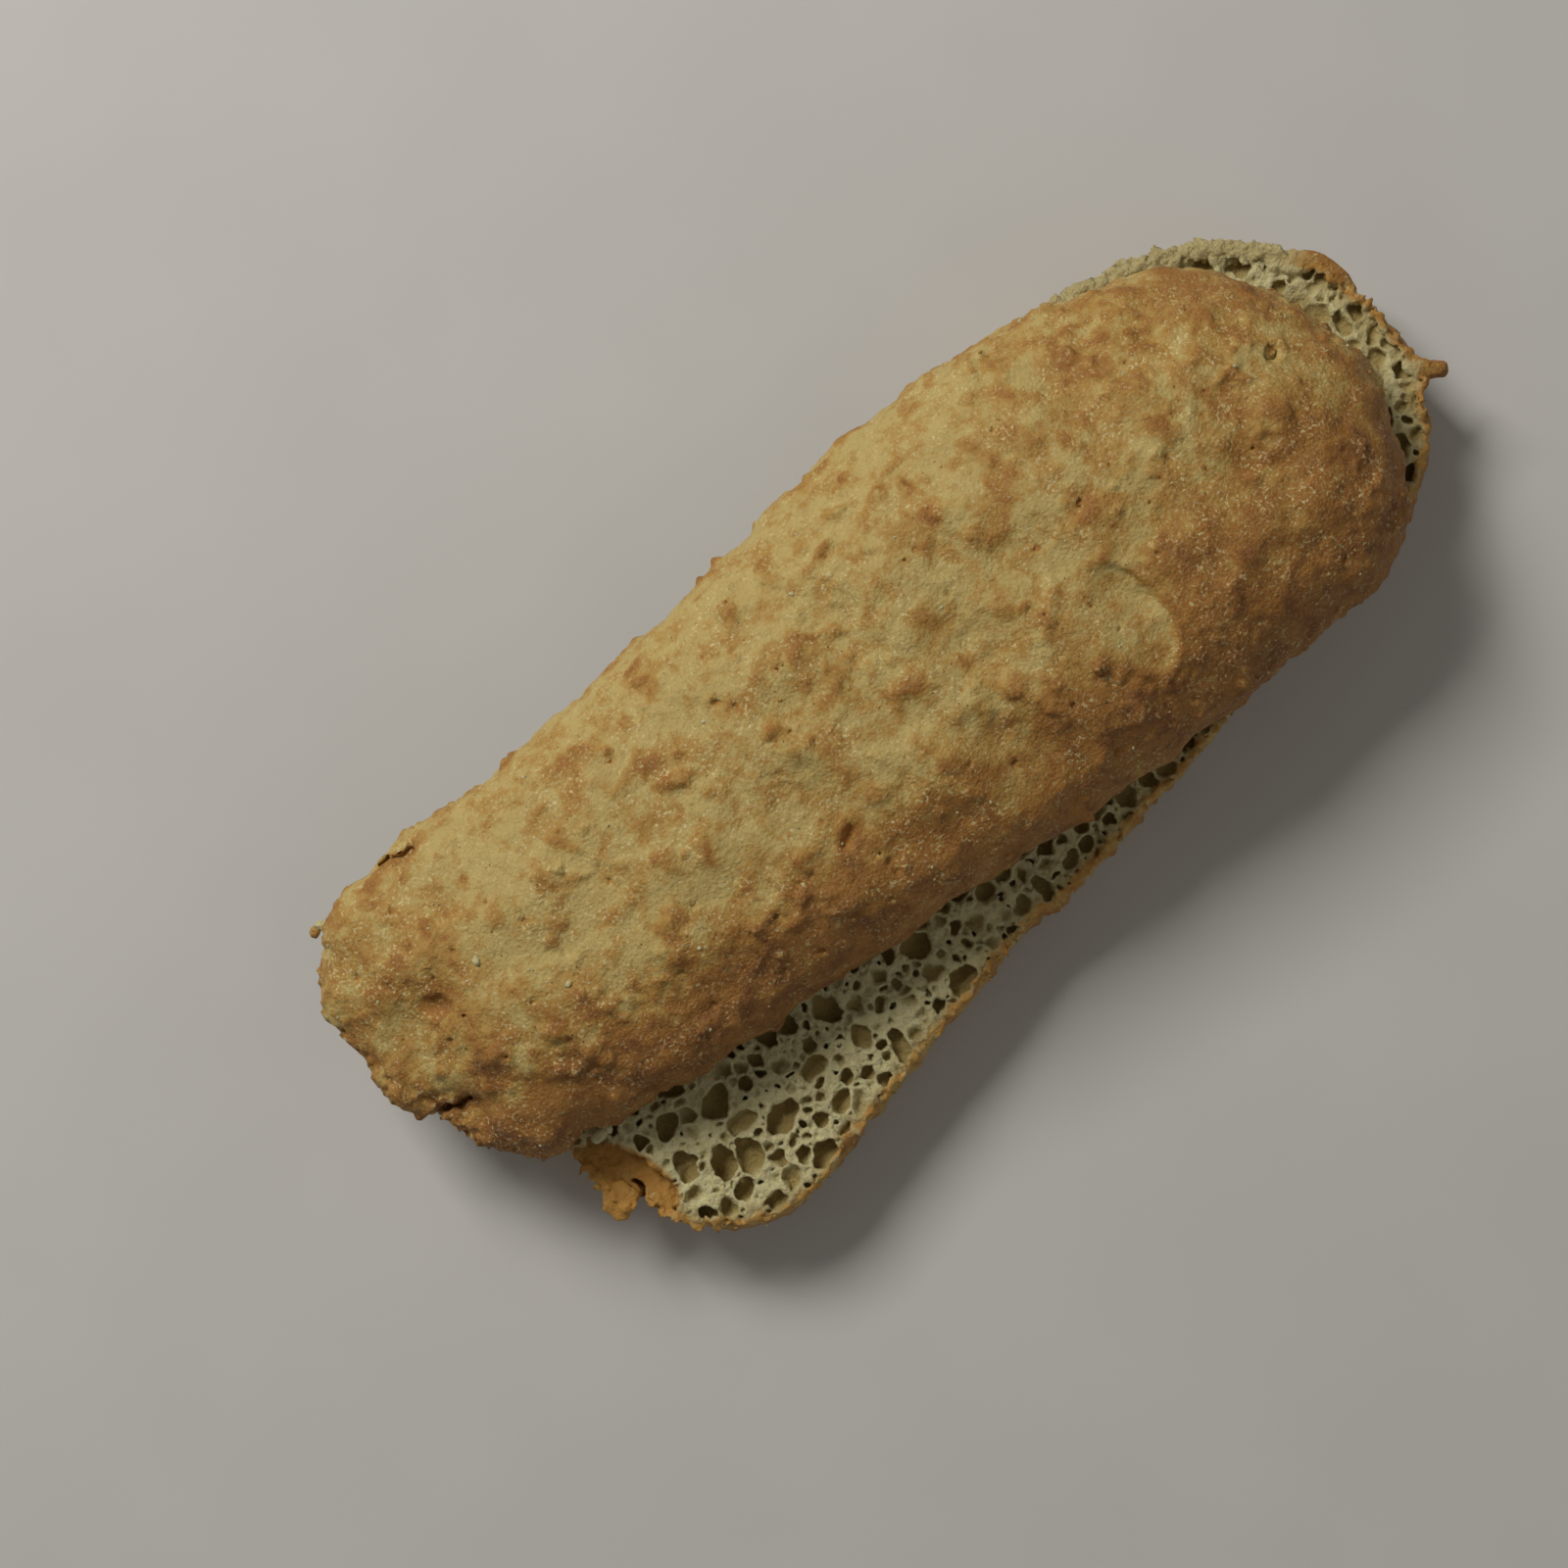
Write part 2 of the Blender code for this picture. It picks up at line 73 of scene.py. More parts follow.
CUT = 21.5  # height of the knife's path
GAP = 0.3  # between the halves
CUT_SWAY = 0.5  # how far its path sways
EDGE_JAG = 1.3  # how far the cut drops between teeth of the crust's edge
FRAY = 1.25  # how far the crust's edge frays sideways
SHIFT = np.array([5.441, -12.445])  # the bottom half's middle in the loaf's frame
TOP_MIDDLE = np.array([-7.3, 14.6])  # the top half's middle and turn on the bottom half
TOP_TURN = radians(-11.7)
HIDDEN_HALF = (118, 44)  # half length and half width of what the top half hides
TOP_BELLY, TOP_TUCK = 6.0, 1.8  # up to the widest line, and how far the cut lies in from it
BOTTOM_BELLY, BOTTOM_TUCK = 9.0, 2.4
TOP_CRUST, BOTTOM_CRUST = 1.4, 0.75  # thickness that the bubbles leave
BUBBLE_GROWTH = 1.25  # how far a bubble of the crumb grows past its seeded size
WALL = 0.27  # mean half thickness between bubbles
WALL_ROUNDING = 0.7  # where the knife passed


# ---- fields of noise


def unit_vectors(count):
    """Directions spread evenly over a sphere, in shuffled order."""
    rng = np.random.default_rng(5)
    lift = (2 * np.arange(count) + 1) / count - 1
    turn = np.arange(count) * pi * (3 - sqrt(5))
    flat = np.sqrt(1 - lift * lift)
    vectors = np.stack([flat * np.cos(turn), flat * np.sin(turn), lift]).astype(F32)
    return vectors[:, rng.permutation(count)]


SLOPES = unit_vectors(256)
PRIMES = np.array([73856093, 19349663, 83492791], np.uint32)
MIXER = np.uint32(1274126177)


def perlin(points, size, seed):
    """Perlin noise with cells of the given size, about -1 to 1."""
    p = (points / size + np.array([17.3, 5.1, 9.7]) * (seed % 97 + 1)).astype(F32)
    cell = np.floor(p)
    f = p - cell
    u = f * f * f * (f * (f * 6 - 15) + 10)
    first = cell.astype(np.int64).astype(np.uint32) * PRIMES
    key = (first, first + PRIMES)
    total = np.zeros(len(p), F32)
    for corner in range(8):
        step = (corner & 1, corner >> 1 & 1, corner >> 2 & 1)
        h = key[step[0]][:, 0] ^ key[step[1]][:, 1] ^ key[step[2]][:, 2]
        h = ((h ^ (h >> np.uint32(13)) ^ np.uint32(seed * 97)) * MIXER) >> np.uint32(24)
        dot = np.zeros(len(p), F32)
        weight = np.ones(len(p), F32)
        for axis in range(3):
            dot += (f[:, axis] - step[axis]) * SLOPES[axis][h]
            weight *= u[:, axis] if step[axis] else 1 - u[:, axis]
        total += weight * dot
    return total * 1.6


def wave_field(seed, count, short, longest):
    """The slow field that sways the cut, the same in both halves."""
    rng = random.Random(seed)
    vectors, phases = [], []
    for _ in range(count):
        turn, lift = rng.uniform(0, 2 * pi), rng.uniform(-1, 1)
        flat = sqrt(1 - lift * lift)
        number = 2 * pi / exp(rng.uniform(log(short), log(longest)))
        vectors.append((number * flat * cos(turn), number * flat * sin(turn), number * lift))
        phases.append(rng.uniform(0, 2 * pi))
    vectors, phases = np.array(vectors), np.array(phases)
    return lambda points: np.sin(points @ vectors.T + phases).sum(axis=1) / sqrt(count)


def cut_level(x, y):
    """Height of the knife's path at each plan point of the loaf's frame."""
    plan = np.column_stack([x.ravel() - SHIFT[0], y.ravel() - SHIFT[1], np.zeros(x.size)])
    return (CUT + CUT_SWAY * wave_field(31, 8, 60, 150)(plan)).reshape(x.shape)


def bell(value, width):
    return np.exp(-(value / width) ** 2)


def smooth(low, high, value):
    part = np.clip((value - low) / (high - low), 0, 1)
    return part * part * (3 - 2 * part)


# ---- places on the loaf


def rotated(x, y, turn):
    """Plan coordinates in axes turned by an angle."""
    c, s = cos(turn), sin(turn)
    return c * x + s * y, c * y - s * x


def on_top(along, across):
    """Plan point of the loaf's frame from the top half's own length and width."""
    return np.array(rotated(along, across, -TOP_TURN)) + TOP_MIDDLE + SHIFT


def own_top(x, y):
    """The reverse of on_top, for arrays."""
    return rotated(x - TOP_MIDDLE[0] - SHIFT[0], y - TOP_MIDDLE[1] - SHIFT[1], TOP_TURN)


def on_bottom(along, across):
    """The same for the bottom half."""
    return np.array([along, across]) + SHIFT


def own_bottom(points):
    return points[:, 0] - SHIFT[0], points[:, 1] - SHIFT[1]


# ---- distance fields


def rows(items, key, kind=F32):
    """A field of three numbers of every item of a mesh, as rows."""
    values = np.empty(len(items) * 3, kind)
    items.foreach_get(key, values)
    return values.reshape(-1, 3)


class Field:
    """A block of distances to a surface, negative inside, on a grid of VOXEL spacing."""

    def __init__(self, node):
        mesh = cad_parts[node].data
        points = rows(mesh.vertices, "co") / MM
        mesh.calc_loop_triangles()
        faces = rows(mesh.loop_triangles, "vertices", np.int32)
        low, high = points.min(0) - PAD, points.max(0) + PAD
        self.first = np.floor(low / VOXEL).astype(int)
        shape = np.ceil((high - low) / VOXEL).astype(int) + 1
        grid = vdb.FloatGrid.createLevelSetFromPolygons(
            points, triangles=faces.astype(np.uint32),
            transform=vdb.createLinearTransform(VOXEL), halfWidth=BAND / VOXEL,
        )
        self.value = np.empty(shape, F32)
        grid.copyToArray(self.value, ijk=tuple(int(v) for v in self.first))
        self.axes = [(self.first[i] + np.arange(shape[i])) * VOXEL for i in range(3)]

    def blur(self, reach):
        radius = int(ceil(2.5 * reach / VOXEL))
        taps = np.exp(-0.5 * (np.arange(-radius, radius + 1) * VOXEL / reach) ** 2)
        taps = (taps / taps.sum()).astype(F32)
        for axis in range(3):
            padding = [(0, 0)] * 3
            padding[axis] = (radius, radius)
            wide = np.pad(self.value, padding, mode="edge")
            total = np.zeros_like(self.value)
            for i, tap in enumerate(taps):
                part = [slice(None)] * 3
                part[axis] = slice(i, i + self.value.shape[axis])
                total += tap * wide[tuple(part)]
            self.value = total

    def window(self, centre, reach):
        """Slices of the block within reach of a point, and the offsets from that point."""
        low = np.maximum(np.floor((centre - reach) / VOXEL).astype(int) - self.first, 0)
        high = np.ceil((centre + reach) / VOXEL).astype(int) - self.first + 1
        high = np.minimum(high, self.value.shape)
        if (high <= low).any():
            return None
        part = tuple(slice(a, b) for a, b in zip(low, high))
        offsets = [self.axes[i][part[i]] - centre[i] for i in range(3)]
        return part, np.meshgrid(*offsets, indexing="ij", sparse=True)

    def plan(self):
        """Plan coordinates of every column of the block."""
        return np.meshgrid(self.axes[0], self.axes[1], indexing="ij")

    def layer(self, height):
        """Which layer of the block lies at a height."""
        return int(round(height / VOXEL)) - self.first[2]

    def places(self, i, j, k):
        return np.column_stack([self.axes[0][i], self.axes[1][j], self.axes[2][k]])

    def sample(self, points):
        """Values between grid points, for many points."""
        p = points / VOXEL - self.first
        cell = np.clip(np.floor(p).astype(int), 0, np.array(self.value.shape) - 2)
        f = np.clip(p - cell, 0, 1)
        total = np.zeros(len(points))
        for corner in range(8):
            step = np.array([corner & 1, corner >> 1 & 1, corner >> 2 & 1])
            total += np.where(step, f, 1 - f).prod(axis=1) * self.value[tuple((cell + step).T)]
        return total

    def blob(self, centre, radii, axes, wobble):
        """Window and rough distance to a turned, uneven ellipsoid."""
        centre, radii = np.asarray(centre, float), np.asarray(radii, float)
        found = self.window(centre, radii.max() + 1.6)
        if found is None:
            return None, None
        part, (x, y, z) = found
        q = [(axes[i][0] * x + axes[i][1] * y + axes[i][2] * z) / radii[i] for i in range(3)]
        a, b, c, amount = wobble
        uneven = np.sin(2.6 * q[0] + a) * np.sin(2.9 * q[1] + b) + 0.6 * np.sin(3.7 * q[2] + c)
        away = np.sqrt(q[0] ** 2 + q[1] ** 2 + q[2] ** 2) + amount * uneven - 1
        return part, away * radii.min()

    def carve(self, *ellipsoid):
        part, away = self.blob(*ellipsoid)
        if part is not None:
            self.value[part] = np.maximum(self.value[part], -away)

    def join(self, *ellipsoid, blend):
        """Adds an ellipsoid, with a soft seam."""
        part, away = self.blob(*ellipsoid)
        if part is not None:
            old = self.value[part]
            mix = np.clip(0.5 + 0.5 * (old - away) / blend, 0, 1)
            self.value[part] = old * (1 - mix) + away * mix - blend * mix * (1 - mix)

    def roof_at(self, plan):
        """Height of the outer skin over a plan point."""
        i, j = np.round(np.asarray(plan) / VOXEL).astype(int) - self.first[:2]
        return float(self.axes[2][np.nonzero(self.value[i, j] < 0)[0][-1]])

    def closed_mesh(self):
        """Points and quads of the surface, without loose bits and sealed hollows."""
        grid = vdb.FloatGrid(BAND)
        grid.copyFromArray(np.ascontiguousarray(self.value))
        points, _, quads = grid.convertToPolygons(isovalue=0.0, adaptivity=0.0)
        keep = largest_piece(len(points), quads)
        quads = quads[keep[quads[:, 0]]]
        number = np.cumsum(keep) - 1
        return (points[keep] + self.first) * VOXEL, number[quads]


def largest_piece(count, quads):
    """Which points belong to the biggest connected surface."""
    start = np.concatenate([quads[:, i] for i in range(4)])
    end = np.concatenate([quads[:, (i + 1) % 4] for i in range(4)])
    root = np.arange(count)
    while True:
        above = root[root]
        before = above.copy()
        np.minimum.at(root, root[start], above[end])
        np.minimum.at(root, root[end], above[start])
        np.minimum.at(root, start, above[end])
        np.minimum.at(root, end, above[start])
        root = np.minimum(root, root[root])
        if (root[root] == before).all():
            break
    _, label, size = np.unique(root, return_inverse=True, return_counts=True)
    return label == size.argmax()


def turned(angle, tilt=0.0, roll=0.0):
    """Rows are the axes of a frame turned about Z, then tilted and rolled."""
    z, y, x = (Matrix.Rotation(turn, 3, axis) for turn, axis in zip((angle, tilt, roll), "ZYX"))
    return np.array((z @ y @ x).transposed())


# ---- each half's rough body


def dome(part):
    part = np.clip(part, 0, 1)
    return np.sqrt(1 - (1 - part) ** 2)


def carried_past_cut(field, belly, tuck, side):
    """Carries the crust's side wall on through the cut, with its tuck, and softens facets."""
    z = field.axes[2]
    k = field.layer(CUT + side * belly)
    ring = field.value[:, :, k].copy()
    x, y = field.plan()
    along = own_top(x, y)[0] if side > 0 else x - SHIFT[0]
    share = (tuck * (1 - 0.9 * (1 - smooth(-116, -98, along)))).astype(F32)
    for i in range(0, k) if side > 0 else range(k + 1, len(z)):
        part = min(side * (z[i] - CUT) / belly, 1)
        field.value[:, :, i] = ring + share * (1 - dome(max(part, 0.0)) ** 1.4)
    field.blur(BLUR)


def rough_rim(field, side, seed, amount):
    """Frays the crust's edge close to the cut."""
    rim = side * (field.axes[2] - CUT)
    high = 12 if side > 0 else 5.5
    near = (np.abs(field.value) < 2.6) & ((rim > -5.5) & (rim < high))[None, None, :]
    i, j, k = np.nonzero(near)
    points = field.places(i, j, k)
    fade = bell(points[:, 2] - CUT, 2.8)
    fray = (0.45 * perlin(points, 4.2, seed) + 0.55 * perlin(points, 2.1, seed + 1)
            + 0.45 * perlin(points, 1.15, seed + 2))
    if side > 0:
        along, _ = own_top(*points.T[:2])
        back = 1 - smooth(-112, -92, along)
        amount = amount * (1 + 1.9 * back)
        fade = np.maximum(fade, 0.42 * back * bell(points[:, 2] - CUT - TOP_BELLY, 4.5))
    field.value[i, j, k] += (amount * fade * fray).astype(F32)


def soft_max(a, b, blend):
    mix = np.maximum(blend - np.abs(a - b), 0) / blend
    return np.maximum(a, b) + 0.25 * blend * mix * mix


def stamp(field, near, next_near, centre, radii, axes, wobble):
    """Keeps, at every place, the distances to the two nearest bubbles."""
    part, away = field.blob(centre, radii, axes, wobble)
    if part is not None:
        first = near[part]
        next_near[part] = np.minimum(np.maximum(first, away), next_near[part])
        near[part] = np.minimum(first, away)


def crumb_foam(field, skin, side, seed, passes, shown, crust):
    """Opens the crumb next to the cut into seeded bubbles that grow until they share thin walls."""
    rng = random.Random(seed)
    draw = rng.uniform
    near = np.full(field.value.shape, BAND, F32)
    next_near = near.copy()
    for bubble in shown:
        stamp(field, near, next_near, *bubble)
    x0, x1, y0, y1 = field.axes[0][0], field.axes[0][-1], field.axes[1][0], field.axes[1][-1]
    for tries, small, big, deep, clear in passes:
        for _ in range(tries):
            size = small + (big - small) * rng.random() ** 1.7
            centre = np.array([draw(x0, x1), draw(y0, y1), 0])
            centre[2] = CUT + side * draw(-0.3 * size, deep)
            i, j, k = np.round(centre / VOXEL).astype(int) - field.first
            spin, tilt, roll = draw(0, pi), draw(-0.5, 0.5), draw(-0.5, 0.5)
            stretch, squash = draw(0.8, 1.5), draw(0.7, 1.0)
            wobble = (draw(0, 6), draw(0, 6), draw(0, 6), draw(0.04, 0.16))
            if skin.value[i, j, k] > -(0.45 * size + 0.6 * crust) or near[i, j, k] < clear * size:
                continue
            radii = (size * stretch, size, size * squash)
            stamp(field, near, next_near, centre, radii, turned(spin, tilt, roll), wobble)
    void = np.minimum(0.5 * (next_near - near), BUBBLE_GROWTH - near)
    i, j, k = np.nonzero((void > 0.02) & (skin.value < 0.4))
    points = field.places(i, j, k)
    shell = crust + 0.35 * perlin(points, 3.4, seed + 2) - (crust + 0.4) * fluffy(points, side)
    void[i, j, k] = np.minimum(void[i, j, k], -skin.value[i, j, k] - shell)
    wall = WALL + 0.22 * perlin(points, 3.8, seed) + 0.14 * perlin(points, 1.3, seed + 1)
    inner = void[i, j, k] - np.maximum(wall, 0.0)
    field.value[i, j, k] = soft_max(field.value[i, j, k], inner.astype(F32), 0.3)


def cut_through(field, side, ragged, skin):
    """Ends the half at the knife's path, a little lower where crumb or the crust's edge tore."""
    x, y = field.plan()
    k = field.layer(CUT + side)
    rim = 1 - smooth(0.4, 1.8, -skin.value[:, :, k])
    teeth = 0.9 * plan_noise(x, y, 2.6, 91) + 0.7 * plan_noise(x, y, 1.3, 92) + 0.2
    jag = rim * np.maximum(teeth, 0)
    level = (cut_level(x, y) + side * (GAP / 2 + ragged(x, y) + EDGE_JAG * jag)).astype(F32)
    plane = side * (level[:, :, None] - field.axes[2].astype(F32)[None, None, :])
    field.value = soft_max(field.value, plane, WALL_ROUNDING)


def plan_noise(x, y, size, seed):
    points = np.column_stack([x.ravel(), y.ravel(), np.full(x.size, 0.37)])
    return perlin(points, size, seed).reshape(x.shape)


# ---- the bottom half

BASE_ROUND, BASE_ROUND_HEIGHT = 7.0, 9.0  # of the lower crust's edge at the base
BOTTOM_PASSES = (
    # tries, smallest, biggest, deepest, least share of the radius clear of other bubbles
    (3200, 1.5, 2.9, 1.5, 0.74),
    (22000, 0.8, 1.5, 1.5, 0.74),
    (36000, 0.45, 0.8, 1.1, 0.8),
)
# Named cells that show: along, across, half length, half width, turn in degrees, depth.
SHOWN_CELLS = (
    (-81.8, -25.0, 4.4, 3.0, 15, 0.8),
    (-91.5, -25.0, 4.2, 2.6, 60, 0.9),
    (-87.9, -12.9, 4.0, 2.8, 30, 0.8),
    (-71.5, -32.0, 2.6, 1.9, 10, 0.6),
    (-81.4, -35.6, 3.6, 2.1, 20, 1.2),
    (-37.4, -34.0, 3.4, 2.6, 0, 1.0),
    (-55.5, -33.0, 3.8, 2.0, 70, 1.0),
    (-13.6, -34.5, 3.0, 1.6, 80, 0.8),
    (-5.8, -34.5, 2.4, 1.5, 20, 0.8),
    (110.2, -6.2, 2.6, 1.7, 60, 1.0),
    (107.6, -10.8, 1.9, 1.5, 20, 0.8),
    (112.5, -1.5, 1.7, 1.3, 0, 0.6),
    (109.0, 2.5, 1.5, 1.2, 40, 0.6),
    (104.6, -18.0, 3.0, 1.8, 75, 1.2),
    (101.4, -24.5, 2.5, 1.7, 70, 1.2),
    (99.0, -31.0, 3.0, 1.8, 35, 1.0),
    (-101.2, -16.7, 3.6, 2.4, 50, 0.8),
    (-97.9, -8.7, 3.0, 2.2, 40, 0.8),
    (-70.1, -23.1, 3.2, 2.2, 0, 0.6),
    (-59.4, -26.6, 3.0, 2.0, 70, 0.6),
)


def bottom_field():
    field = Field("loaf_bottom")
    carried_past_cut(field, BOTTOM_BELLY, BOTTOM_TUCK, -1)
    round_base(field)
    splay_flap(field)
    rough_rim(field, -1, 41, FRAY)
    skin = copy_of(field)
    shown = []
    for along, across, length, width, turn, depth in SHOWN_CELLS:
        centre = (*on_bottom(along, across), CUT - depth)
        axes = turned(radians(turn), 0.15, -0.1)
        shown.append((centre, (length, width, width * 0.95), axes, (along, across, turn, 0.1)))
    crumb_foam(field, skin, -1, 51, BOTTOM_PASSES, shown, BOTTOM_CRUST)
    bare_flap(field, skin)
    cut_through(field, -1, bottom_ragged, skin)
    bits_on_rim(field, skin)
    tongue_and_notch(field)
    scabs_on_rim(field)
    torn_clumps(field)
    return field, skin


def round_base(field):
    """Draws the crust in towards the base, unevenly, as it sets against the oven's floor."""
    x, y = field.plan()
    reach = BASE_ROUND + 1.6 * plan_noise(x, y, 24.0, 93)
    k = field.layer(BASE_ROUND_HEIGHT)
    ring = field.value[:, :, k].copy()
    for i in range(k):
        part = min(1 - field.axes[2][i] / BASE_ROUND_HEIGHT, 1)
        drawn = (ring + reach * part ** 2.2).astype(F32)
        field.value[:, :, i] = soft_max(field.value[:, :, i], drawn, 1.5)


def copy_of(field):
    twin = object.__new__(Field)
    twin.first, twin.axes, twin.value = field.first, field.axes, field.value.copy()
    return twin


def bottom_ragged(x, y):
    """How far the crumb's surface sinks below the knife's path."""
    rough = 1.0 * np.maximum(plan_noise(x, y, 6.5, 60), 0) + 0.7 * np.abs(plan_noise(x, y, 3.0, 61))
    rough += 0.35 * np.abs(plan_noise(x, y, 1.5, 62))
    torn = smooth(88, 104, x - SHIFT[0] + 0.3 * (y - SHIFT[1]))
    return rough + torn * (0.6 + 1.2 * np.abs(plan_noise(x, y, 4.5, 63)))


FLAP = (-113.0, -9.8)  # root of the splayed tongue of crust at the back end
TONGUE = ((-113.6, -10.2), (-115.2, -11.8), (-116.4, -13.0))  # plates that fan out from it
TONGUE_TURN = radians(225)
TONGUE_REACH = 5.2
BARE = (-110.9, -9.6)  # middle of the crust laid bare behind it
BARE_TURN = radians(-76)
BARE_HALF = (11.0, 4.7)  # half length and half width of that place
BARE_FLOOR = (1.2, 0.62)  # depth of the bare crust at its rim, and its slope inward
# Slit beside the tongue, from its blind end out through the rim: along, across, half width.
NOTCH = (
    (-110.9, -10.9, 0.35), (-110.5, -11.6, 0.5), (-110.5, -12.4, 0.6), (-110.8, -13.2, 0.65),
    (-111.4, -14.0, 0.65), (-112.2, -14.7, 0.8), (-113.2, -15.4, 1.1), (-114.4, -16.2, 1.6),
    (-116.0, -17.4, 2.4),
)


def splay_flap(field):
    """Leans the crust outward at the back end, more towards the cut."""
    x, y, z = np.meshgrid(*field.axes, indexing="ij", sparse=True)
    for (along, across), push, reach in ((BARE, 0.8, 10.0), (FLAP, 0.8, 4.0)):
        cx, cy = on_bottom(along, across)
        near = bell(x - cx, reach) * bell(y - cy, reach)
        field.value -= (push * near * smooth(CUT - 9, CUT, z)).astype(F32)


def bare_flap(field, skin):
    """The crumb has torn away behind the flap and left the inner side of the crust bare."""
    x, y, z = np.meshgrid(*field.axes, indexing="ij", sparse=True)
    cx, cy = on_bottom(*BARE)
    u, v = rotated(x - cx, y - cy, BARE_TURN)
    tx, ty = on_bottom(*TONGUE[1])
    zone = 5.0 * (1 - np.hypot(u / BARE_HALF[0], v / BARE_HALF[1]))
    zone = np.maximum(zone, TONGUE_REACH - np.hypot(x - tx, y - ty))
    gx, gy = field.plan()
    ragged = 1.2 * plan_noise(gx, gy, 4.0, 66) + 0.7 * plan_noise(gx, gy, 1.8, 67)
    inward = np.clip(-skin.value[:, :, field.layer(CUT - 1)], 0, 6)
    floor = CUT - BARE_FLOOR[0] - BARE_FLOOR[1] * inward - 0.5 * plan_noise(gx, gy, 5.0, 68)
    floor -= 0.45 * plan_noise(gx, gy, 2.2, 69) + 0.3 * plan_noise(gx, gy, 1.1, 70)
    bare = zone + ragged[:, :, None] + 0 * z
    void = np.minimum(bare, z - floor[:, :, None]).astype(F32)
    field.value = soft_max(field.value, void, 0.5)
    solid = np.maximum(z - floor[:, :, None], floor[:, :, None] - 4.0 - z)
    solid = np.maximum(np.maximum(solid, -bare), skin.value).astype(F32)
    field.value = np.minimum(field.value, solid)


def tongue_and_notch(field):
    """The tongue that leans out over the rim, and the slit beside it."""
    for along, across in TONGUE:
        place = (*on_bottom(along, across), CUT - 2.2)
        axes = turned(TONGUE_TURN, -0.15)
        field.join(place, (2.1, 3.5, 0.7), axes, (along, 2, 1, 0.2), blend=0.4)
    for along, across, width in NOTCH:
        place = (*on_bottom(along, across), CUT - 4.0)
        field.carve(place, (width * 1.25, width, 8.0), turned(0.8), (along, across, 0, 0.15))


# The nub and the flake on the front end's edge: along, across, depth, radii, turn in degrees.
RIM_SCABS = (
    (113.6, -23.4, 2.2, (4.2, 2.0, 1.6), -58),
    (115.3, -26.0, 2.6, (2.0, 2.2, 1.7), -55),
    (116.6, 4.4, 1.3, (3.4, 1.5, 1.0), -82),
    (117.2, 0.6, 1.5, (3.2, 1.4, 0.9), -94),
    (115.6, 7.8, 1.5, (2.1, 1.2, 1.0), -62),
)
BROWNED = ((114.5, -24.8, 5.0, 5.0), (117.0, 3.0, 2.4, 8.0))  # the same two: middles, half sizes


def scabs_on_rim(field):
    for along, across, low, radii, turn in RIM_SCABS:
        axes = turned(radians(turn), 0.1)
        field.join((*on_bottom(along, across), CUT - low), radii, axes, (4, 1, 2, 0.1), blend=0.7)


RIM_BITS, CLUMPS = 1900, 900  # seeded bits of crust on the rim, clumps of torn crumb


def bits_on_rim(field, skin):
    """Small flakes and crumbs of both kinds along the cut edge of the crust."""
    rng = random.Random(59)
    draw = rng.uniform
    edge = np.argwhere(np.abs(skin.value[:, :, field.layer(CUT - 1)] + 0.5) < 0.7)
    for _ in range(RIM_BITS):
        i, j = edge[rng.randrange(len(edge))]
        size = 0.25 + 0.6 * rng.random() ** 2.4
        z = CUT - 0.5 - size * 0.7 - 2.2 * rng.random() ** 2
        centre = (field.axes[0][i] + draw(-0.2, 0.2), field.axes[1][j] + draw(-0.2, 0.2), z)
        radii = (size * draw(1.1, 2.2), size, size * draw(0.45, 0.8))
        axes = turned(draw(0, 3), draw(-0.7, 0.7), draw(-0.7, 0.7))
        field.join(centre, radii, axes, (i, j, 0, 0.3), blend=0.3)


# Line of torn crumb along the front end's left edge.
CLUMP_LINE = (
    (74.0, 40.3), (80.0, 38.6), (86.0, 36.0), (93.0, 32.7), (98.0, 29.4),
    (102.0, 26.3), (106.0, 22.4), (109.0, 17.9), (112.0, 13.0), (113.6, 8.4),
)


def torn_clumps(field):
    """Soft clumps of torn crumb that hang over the crust's edge."""
    rng = random.Random(57)
    draw = rng.uniform
    for _ in range(CLUMPS):
        i = rng.randrange(len(CLUMP_LINE) - 1)
        part, size = rng.random(), 0.3 + 0.85 * rng.random() ** 2.6
        along = CLUMP_LINE[i][0] * (1 - part) + CLUMP_LINE[i + 1][0] * part
        across = CLUMP_LINE[i][1] * (1 - part) + CLUMP_LINE[i + 1][1] * part
        x, y = on_bottom(along + draw(-2.5, 0.8), across + draw(-2.5, 0.8))
        z = CUT - 0.3 - size * 0.75 - draw(0, 2.2)
        radii = (size * draw(1.0, 1.4), size, size * draw(0.5, 0.9))
        axes = turned(draw(0, 3), draw(-0.5, 0.5), draw(-0.5, 0.5))
        field.join((x, y, z), radii, axes, (draw(0, 6), along, across, 0.3), blend=0.3)


# ---- the top half

TOP_PASSES = (
    (1200, 1.8, 3.2, 2.6, 0.8),
    (6000, 1.0, 1.8, 2.2, 0.75),
    (9000, 0.6, 1.0, 1.0, 0.7),
)
# Pits and craters of the crust: along, across, half length, half width, depth, turn.
CRATERS = (
    (-20.9, -17.1, 3.0, 1.2, 1.6, 35),
    (95.5, -5.2, 0.9, 0.7, 1.2, 0),
    (80.6, 5.6, 0.6, 0.5, 0.8, 0),
    (76.4, 33.5, 0.7, 0.6, 0.9, 0),
    (73.5, 29.5, 0.6, 0.6, 0.8, 0),
    (86.5, -33.0, 0.9, 0.6, 1.0, 40),
    (-84.0, 21.4, 0.8, 0.6, 1.0, 20),
    (-99.0, 25.0, 0.7, 0.6, 0.9, 0),
    (-112.8, 19.0, 0.8, 0.6, 0.9, 0),
    (-62.0, 4.0, 0.5, 0.4, 0.8, 0),
    (-48.0, 22.0, 0.5, 0.5, 0.8, 0),
    (6.0, -20.0, 0.6, 0.5, 0.8, 0),
    (22.0, 8.0, 0.5, 0.4, 0.8, 0),
)
PINHOLES = 70  # tiny seeded pits besides the named ones


